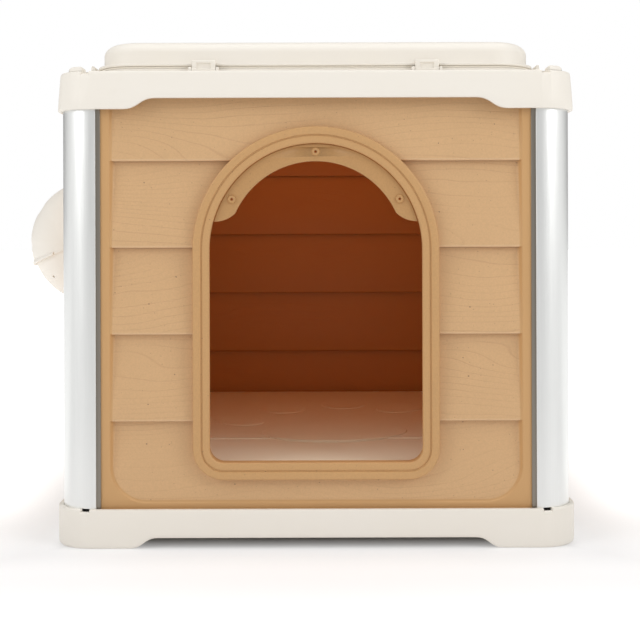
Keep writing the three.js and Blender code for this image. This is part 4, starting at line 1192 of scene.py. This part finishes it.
def lid_rings(profile):
    """Level rings of the lid's plan; the profile is a list of (inset, z)."""
    return [[(x, y, z) for x, y in rounded_rect(LID_X - inset, LID_Y - inset, max(LID_CORNER - inset, 16))]
            for inset, z in profile]


def lid_dome(wall):
    """(inset, z) from the flange up to the crown, wall inside the outer skin."""
    profile = []
    for i in range(DOME_STEPS + 1):
        angle = math.radians(90 * i / DOME_STEPS)
        profile.append((wall + (LID_ROUND_X - wall) * (1 - math.cos(angle)),
                        LID_TOP - LID_ROUND_Z + (LID_ROUND_Z - wall) * math.sin(angle)))
    crown = LID_TOP - wall + LID_CROWN
    return profile + [(LID_ROUND_X + 6, LID_TOP - wall + 0.9), (LID_ROUND_X + 18, crown - 0.5),
                      (LID_ROUND_X + 34, crown)]


def roof_lid():
    top = FLANGE_Z + FLANGE_THICK
    flange = [(0, top + 2), (-0.5, top + 0.6), (-1.8, top), (-7.0, top), (-7.7, top - 0.3), (-8, top - 1),
              (-8, FLANGE_Z + 0.8), (-7.7, FLANGE_Z + 0.2), (-7.2, FLANGE_Z),
              (LID_WALL - 0.5, FLANGE_Z), (LID_WALL, FLANGE_Z + 0.5)]
    lid = loft("lid_shell", lid_rings(lid_dome(0)[::-1] + flange + lid_dome(LID_WALL)))
    knuckles = []
    for side in (-1, 1):
        low = side * HINGE_X - KNUCKLE_WIDTH / 2
        high = low + KNUCKLE_WIDTH
        knuckles.append(block("arm", (low, LID_Y - 1, FLANGE_Z), (high, HINGE_Y, HINGE_Z + 6), 0.8))
        knuckles.append(bar("knuckle", "x", 6, low, high, (0, HINGE_Y, HINGE_Z), 40))
    join(lid, *knuckles)
    cut(lid, hinge_hole())
    cut(lid, loft("hollow", lid_rings([(LID_WALL, FLANGE_Z - 5)] + lid_dome(LID_WALL))))
    hand_in(lid, "lid", "ivory_plastic", IVORY, "roof_lid")


def lid_seal():
    low = SEAT_TOP + GAP
    high = low + SEAL_THICK
    wide = SEAT_INSIDE - SEAT_WIDTH + 1
    narrow = SEAT_INSIDE - 1
    profile = [(wide, low + 0.5), (wide + 0.5, low), (narrow - 0.5, low), (narrow, low + 0.5),
               (narrow, high - 0.9), (narrow - 0.9, high), (wide + 0.9, high), (wide, high - 0.9)]
    hand_in(loft("lid_seal", lid_rings(profile), closed=True), "cabin", "seal_rubber", RUBBER, "lid_gasket")


LATCH_THICK_HALF = 2.8
LATCH_HEIGHT = 13.5
NOSE_GAP = 0.4


def latches():
    for hand, side in (("left", -1), ("right", 1)):
        middle = side * LATCH_X
        x0 = middle - LATCH_WIDTH / 2
        x1 = x0 + LATCH_WIDTH
        front = LATCH_Y - LATCH_THICK_HALF
        rear = LATCH_Y + LATCH_THICK_HALF
        top = LATCH_Z + LATCH_HEIGHT
        clip = block("latch_" + hand + "_clip", (x0, front, LATCH_Z - 3), (x1, rear, top), 1.5)
        join(clip, block("nose", (x0, front + 1.5, top - 3), (x1, -LID_FRONT - NOSE_GAP, top), 0.7),
             bar("barrel", "x", 3.6, x0, x1, (0, LATCH_Y, LATCH_Z), 32))
        cut(clip, block("dish", (middle - 10, front - 5, LATCH_Z + 1),
                        (middle + 10, front + 1.7, top - 3.6), 1.2),
            bar("hole", "x", LATCH_HOLE, x0 - 1, x1 + 1, (0, LATCH_Y, LATCH_Z), 24))
        hand_in(clip, hand + "_latch", "ivory_plastic", IVORY, "latch_" + hand)


# ---- Vent ----
VENT_Z = (COLLAR_HIGH.z + COLLAR_LOW.z) / 2
VENT_REACH = 32.8
VENT_X = PANEL_FACE - POST_X - VENT_REACH
VENT_CENTRE = (VENT_X, 0, VENT_Z)
VENT_BORE = 78
VENT_SPIGOT = VENT_BORE + 3.7
VENT_PIN_HOLE = 2.95
HOOD_RADIUS = 105.3
HOOD_WALL = 2
SHUTTER_RADIUS = 102.5
SEAM = -21.8
SHUTTER_LAP = 5
VENT_SCREW_CIRCLE = 89.5
CLAMP_WIDTH = 14
CLAMP_THICK = 4
BALL_SIDES = 120
BALL_ROWS = 60
LIP_STEPS = 48
VALLEYS = ((33, 5.5, 1.4), (-4, 4.5, 1.2))  # turn, width in degrees and depth
AIR_HOLES = (-49, -13, 13, 49)
AIR_HOLE_DROP = 57


def dome_point(radius, around, toward):
    """around turns from level on the -X side (0) up to +Z (90); toward runs from -Y to +Y."""
    turn = math.radians(around)
    tilt = math.radians(toward)
    return (VENT_X - radius * math.cos(tilt) * math.cos(turn), radius * math.sin(tilt),
            VENT_Z + radius * math.cos(tilt) * math.sin(turn))


def pivot_bar(name, radius, sides=48):
    return bar(name, "y", radius, -2 * HOOD_RADIUS, 2 * HOOD_RADIUS, VENT_CENTRE, sides)


def ball(name, radius, sink=lambda around, toward: 0):
    rings = []
    for r in range(BALL_ROWS + 1):
        toward = -90 + 180 * r / BALL_ROWS
        turns = [360 * i / BALL_SIDES - 180 for i in range(BALL_SIDES)]
        rings.append([dome_point(radius - sink(around, toward), around, toward) for around in turns])
    return loft(name, rings)


def hood_sink(around, toward):
    """Three soft lobes along the pivot, with a shallow valley between each two."""
    fade = math.cos(math.radians(toward)) ** 2
    return fade * sum(depth * math.exp(-((around - at) / width) ** 2) for at, width, depth in VALLEYS)


def dome_shell(name, radius, low, high, ear, *sink):
    """A hollow ball, of which the part between two turns and the ears round the pivot are kept."""
    shell = ball(name, radius, *sink)
    far = 3 * HOOD_RADIUS
    keep = plate("keep", [[(VENT_X, VENT_Z)] + [(VENT_X - x, VENT_Z + z) for x, z in
                                                arc(0, 0, far, low, high, 12)]], 2 * far, 0.0, upright(far))
    join(keep, pivot_bar("ear", ear))
    cut(shell, ball("hollow", radius - HOOD_WALL))
    combine(shell, [keep], "INTERSECT")
    return shell


def vent_hood():
    shell = dome_shell("vent_cover", HOOD_RADIUS, SEAM, 89.9, 14.5, hood_sink)
    profile = ((SEAM, 0.2), (SEAM, 3.0), (SEAM + 0.5, 3.5), (SEAM + 1.6, 3.4),
               (SEAM + 3.0, 2.2), (SEAM + 4.4, 0.4), (SEAM + 4.8, -1.2), (SEAM, -1.2))
    join(shell, loft("lip", [[dome_point(HOOD_RADIUS + lift, around, -60 + 120 * i / LIP_STEPS)
                              for around, lift in profile] for i in range(LIP_STEPS + 1)]))
    cut(shell, pivot_bar("hole", VENT_PIN_HOLE, 24))
    hand_in(shell, "cabin", "ivory_plastic", IVORY, "vent_hood")


def vent_shutter():
    shell = dome_shell("vent_flap", SHUTTER_RADIUS, -89.9, SEAM + SHUTTER_LAP, 12)
    reach = math.sqrt(SHUTTER_RADIUS ** 2 - AIR_HOLE_DROP ** 2)
    holes = []
    for angle in AIR_HOLES:
        x, y = arc(0, 0, reach, angle, angle, 1)[0]
        way = Vector((-x, y, -AIR_HOLE_DROP))
        drill = bar("drill", "z", 2.5, -6, 6, (0, 0, 0), 20)
        turn = way.to_track_quat("Z", "Y").to_matrix().to_4x4()
        drill.data.transform(Matrix.Translation((Vector(VENT_CENTRE) + way) * MM) @ turn)
        holes.append(drill)
    cut(shell, *holes, pivot_bar("hole", VENT_PIN_HOLE, 24))
    hand_in(shell, "shutter", "ivory_plastic", IVORY, "vent_shutter")


def vent_collar():
    wall = VENT_REACH - GAP
    face = wall - 4
    end = VENT_REACH + BOARD_BACK + CLAMP_THICK + 3
    ring = HOOD_RADIUS - 4
    flange = HOOD_RADIUS + 10.7
    profile = [(VENT_BORE, end - 0.6), (VENT_BORE + 0.6, end), (VENT_SPIGOT - 0.6, end),
               (VENT_SPIGOT, end - 0.6), (VENT_SPIGOT, wall), (flange - 0.4, wall), (flange, wall - 0.5),
               (flange, face + 1.6), (flange - 0.5, face + 0.5), (flange - 1.6, face),
               (HOOD_RADIUS + 1.5, face), (HOOD_RADIUS + 0.4, face - 0.4), (HOOD_RADIUS, face - 1.5),
               (HOOD_RADIUS, GAP + 0.5), (HOOD_RADIUS - 0.5, GAP), (ring + 0.5, GAP), (ring, GAP + 0.5),
               (ring, face), (VENT_BORE, face)]
    collar = turned("vent_seat", profile, "x", VENT_CENTRE)
    cut(collar, pivot_bar("notch", 15.5))
    hand_in(collar, "cabin", "ivory_plastic", IVORY, "vent_collar")


def clamp_ring():
    near = VENT_REACH + BOARD_BACK + GAP
    far = near + CLAMP_THICK
    inner = VENT_SPIGOT + GAP
    outer = inner + CLAMP_WIDTH
    profile = [(inner, near), (outer, near), (outer, far - 1), (outer - 1, far), (inner + 1, far),
               (inner, far - 1)]
    clamp = turned("vent_clamp", profile, "x", VENT_CENTRE)
    hand_in(clamp, "cabin", "ivory_plastic", IVORY, "vent_clamp_ring")


# ---- Fasteners; the screws are made by Geometry Nodes ----
def screw_tree(finish):
    """Screws on points, each turned by the point's own turn. The head is round with a cross."""
    tree = bpy.data.node_groups.new("screws_on_points", "GeometryNodeTree")
    face = tree.interface
    face.new_socket("Geometry", in_out="INPUT", socket_type="NodeSocketGeometry")
    for label, value in (("Shank Radius", 2.3), ("Shank Length", 24.0), ("Head Radius", 4.9),
                         ("Head Height", 3.0), ("Cross Width", 1.1), ("Cross Depth", 1.8)):
        face.new_socket(label, in_out="INPUT", socket_type="NodeSocketFloat").default_value = value * MM
    face.new_socket("Geometry", in_out="OUTPUT", socket_type="NodeSocketGeometry")
    made = Tree(tree)
    given = made.add("NodeGroupInput").outputs
    wide = given["Head Radius"]
    narrow = given["Cross Width"]

    def lifted(geometry, height):
        up = made.vector(z=height)
        return made.add("GeometryNodeTransform", Geometry=geometry, Translation=up).outputs[0]

    def boolean(operation, solids):
        node = made.add("GeometryNodeMeshBoolean", {"operation": operation, "solver": "EXACT"})
        for solid in solids:
            made.feed(node.inputs["Mesh 2"], solid)
        return node

    shank = made.add("GeometryNodeMeshCylinder", Vertices=16, Radius=given["Shank Radius"],
                     Depth=given["Shank Length"]).outputs["Mesh"]
    head = made.add("GeometryNodeMeshCone", Vertices=28, Radius_Top=made.math("MULTIPLY", wide, 0.72),
                    Radius_Bottom=wide, Depth=given["Head Height"]).outputs["Mesh"]
    joined = boolean("UNION", [lifted(shank, made.math("MULTIPLY", given["Shank Length"], -0.5)),
                               lifted(head, -0.1 * MM)])
    deep = made.math("MULTIPLY", given["Cross Depth"], 2.0)
    slots = [made.add("GeometryNodeMeshCube", Size=made.vector(x, y, deep)).outputs["Mesh"]
             for x, y in ((wide, narrow), (narrow, wide))]
    crossed = boolean("DIFFERENCE", [lifted(slot, given["Head Height"]) for slot in slots])
    made.feed(crossed.inputs["Mesh 1"], joined.outputs["Mesh"])
    turn = made.add("GeometryNodeInputNamedAttribute", {"data_type": "FLOAT_VECTOR"}, Name="turn")
    rotation = made.add("FunctionNodeEulerToRotation", Euler=turn.outputs["Attribute"]).outputs[0]
    copies = made.add("GeometryNodeInstanceOnPoints", Points=given["Geometry"],
                      Instance=crossed.outputs["Mesh"], Rotation=rotation).outputs[0]
    real = made.add("GeometryNodeRealizeInstances", Geometry=copies).outputs[0]
    painted = made.add("GeometryNodeSetMaterial", Geometry=real, Material=finish).outputs[0]
    made.add("NodeGroupOutput", Geometry=painted)
    return tree


def grown(name, tree, points, turn, **sizes):
    """The plain mesh that a tree makes on these points, all with the same turn."""
    mesh = bpy.data.meshes.new(name)
    mesh.from_pydata([Vector(p) * MM for p in points], [], [])
    for item in mesh.attributes.new("turn", "FLOAT_VECTOR", "POINT").data:
        item.vector = turn
    obj = show(bpy.data.objects.new(name, mesh))
    modifier = obj.modifiers.new("grow", "NODES")
    modifier.node_group = tree
    for item in tree.interface.items_tree:
        key = item.name.replace(" ", "_").lower()
        if item.in_out == "INPUT" and key in sizes:
            modifier[item.identifier] = sizes[key] * MM
    settle(obj)
    return clean(obj)


def screws():
    tree = screw_tree(STEEL)
    roof = [(x, y, ROOF_TOP + GAP) for x, y in port_places()]
    base = [(x, y, DECK_TOP - DECK_THICK - GAP) for x, y in port_places()]
    head_x = VENT_X + VENT_REACH + BOARD_BACK + 2 * GAP + CLAMP_THICK
    vent = [(head_x, y, z) for y, z in arc(0, VENT_Z, VENT_SCREW_CIRCLE, 45, 315, 3)]
    for place, points, turn, length, ends in (("roof", roof, (0, 0, 0.3), 23.5, CORNERS),
                                              ("base", base, (math.pi, 0, 0.3), 23.5, CORNERS),
                                              ("vent", vent, (0, math.pi / 2, 0), 21.0, "1234")):
        made = grown(place + "_screws", tree, points, turn, shank_length=length)
        nodes = [place + "_screw_" + end for end in ends]
        hand_in(made, "cabin", "fastener_steel", STEEL, *nodes)


def pin(name, node, axis, profile, origin, sides=32):
    made = turned(name, profile, axis, origin, sides, closed=False)
    hand_in(made, "cabin", "fastener_steel", STEEL, node)


def plain_pin(half, radius, tip, chamfer):
    one_end = [(0, half), (tip, half), (radius, half - chamfer)]
    return [(r, -along) for r, along in one_end] + one_end[::-1]


def pins():
    inside = SHUTTER_RADIUS - HOOD_WALL - 3
    head = HOOD_RADIUS + GAP
    pivot = [(0, inside), (2.2, inside), (2.5, inside + 0.4), (2.5, head), (4.9, head),
             (4.9, head + 0.8), (4.2, head + 1.6), (2.6, head + 2), (0, head + 2)]
    hinge = plain_pin(KNUCKLE_WIDTH / 2 + SIDE_GAP + EAR_THICK, 2.35, 1.9, 0.5)
    latch = plain_pin(LATCH_WIDTH / 2 + SIDE_GAP + LUG_THICK, 1.45, 1.1, 0.4)
    for hand, side in (("left", -1), ("right", 1)):
        pin("lid_pin_" + hand, "lid_hinge_pin_" + hand, "x", hinge, (side * HINGE_X, HINGE_Y, HINGE_Z))
        pin("clip_pin_" + hand, "latch_pin_" + hand, "x", latch, (side * LATCH_X, LATCH_Y, LATCH_Z), 24)
    for end, side in (("front", -1), ("rear", 1)):
        profile = [(radius, side * along) for radius, along in pivot]
        pin("vent_pivot_" + end, "vent_pin_" + end, "y", profile, VENT_CENTRE)


# ---- Studio ----
ROOM_LIGHT = 0.34


def white_room():
    """White to look at and in reflections, and dimmer as a light on matt surfaces."""
    world = bpy.data.worlds.new("white_room")
    world.use_nodes = True
    made = Tree(world.node_tree)
    ray = made.add("ShaderNodeLightPath").outputs
    x, y, z = made.parts(made.add("ShaderNodeTexCoord").outputs["Generated"])
    sideways = made.math("MULTIPLY_ADD", made.math("ABSOLUTE", x), 0.44, 0.38)
    behind = made.math("MULTIPLY_ADD", made.math("MAXIMUM", y, 0.0), -0.75, 1.0)
    mirrored = made.math("MULTIPLY_ADD", z, 0.30, sideways) * behind
    strength = made.math("MULTIPLY_ADD", ray["Is Diffuse Ray"], ROOM_LIGHT, ray["Is Camera Ray"])
    strength = made.math("MULTIPLY_ADD", ray["Is Glossy Ray"], mirrored, strength)
    background = world.node_tree.nodes["Background"]
    made.feed(background.inputs["Strength"], strength)
    background.inputs["Color"].default_value = colour(1, 1, 1)
    bpy.context.scene.world = world


def softbox(name, place, target, size, power, tint=(1, 1, 1)):
    light = bpy.data.lights.new(name, "AREA")
    light.color = tint
    light.shape = "RECTANGLE"
    light.size, light.size_y = size
    light.energy = power
    obj = show(bpy.data.objects.new(name, light))
    obj.location = place
    obj.rotation_euler = (Vector(target) - Vector(place)).to_track_quat("-Z", "Y").to_euler()
    obj.visible_camera = False


def studio():
    """Lengths in metres."""
    white_room()
    bpy.context.scene.view_settings.view_transform = "Standard"
    softbox("overhead", (0, -0.5, 3.0), (0, -0.4, 0), (3.2, 3.2), 42)
    softbox("left_side", (-2.4, -2.0, 1.7), (0, -0.3, 0.4), (1.5, 1.5), 24)
    softbox("right_side", (2.4, -2.0, 1.7), (0, -0.3, 0.4), (1.5, 1.5), 27)
    softbox("inner_glow", (0, 0.05, 0.63), (0, 0.05, 0), (0.5, 0.6), 0.42, (1.0, 0.27, 0.04))
    softbox("sill_glow", (0, -0.30, 0.42), (0, -0.22, 0.1), (0.25, 0.2), 0.16, (1.0, 0.9, 0.75))
    mesh = bpy.data.meshes.new("floor")
    mesh.from_pydata([(-30, -30, 0), (30, -30, 0), (30, 30, 0), (-30, 30, 0)], [], [(0, 1, 2, 3)])
    floor = show(bpy.data.objects.new("floor", mesh))
    floor.location.z = -0.0004
    floor.data.materials.append(floor_finish())


def camera():
    """Lengths in metres, but for the sensor and the lens."""
    data = bpy.data.cameras.new("camera")
    data.sensor_width = 36
    data.lens = 67.55
    data.shift_x = 0.0066
    data.shift_y = -0.133
    data.clip_end = 200
    obj = show(bpy.data.objects.new("camera", data))
    turn = Matrix.Rotation(math.radians(90), 4, "X") @ Matrix.Rotation(math.radians(-0.17), 4, "Z")
    obj.matrix_world = Matrix.Translation((0, -2.056, 0.425)) @ turn
    bpy.context.scene.camera = obj


camera()
studio()
base_tray()
posts()
wall_panels()
door_trim()
flap_plate()
floor_board()
roof_frame()
corner_caps()
roof_lid()
lid_seal()
latches()
vent_collar()
vent_hood()
vent_shutter()
clamp_ring()
screws()
pins()
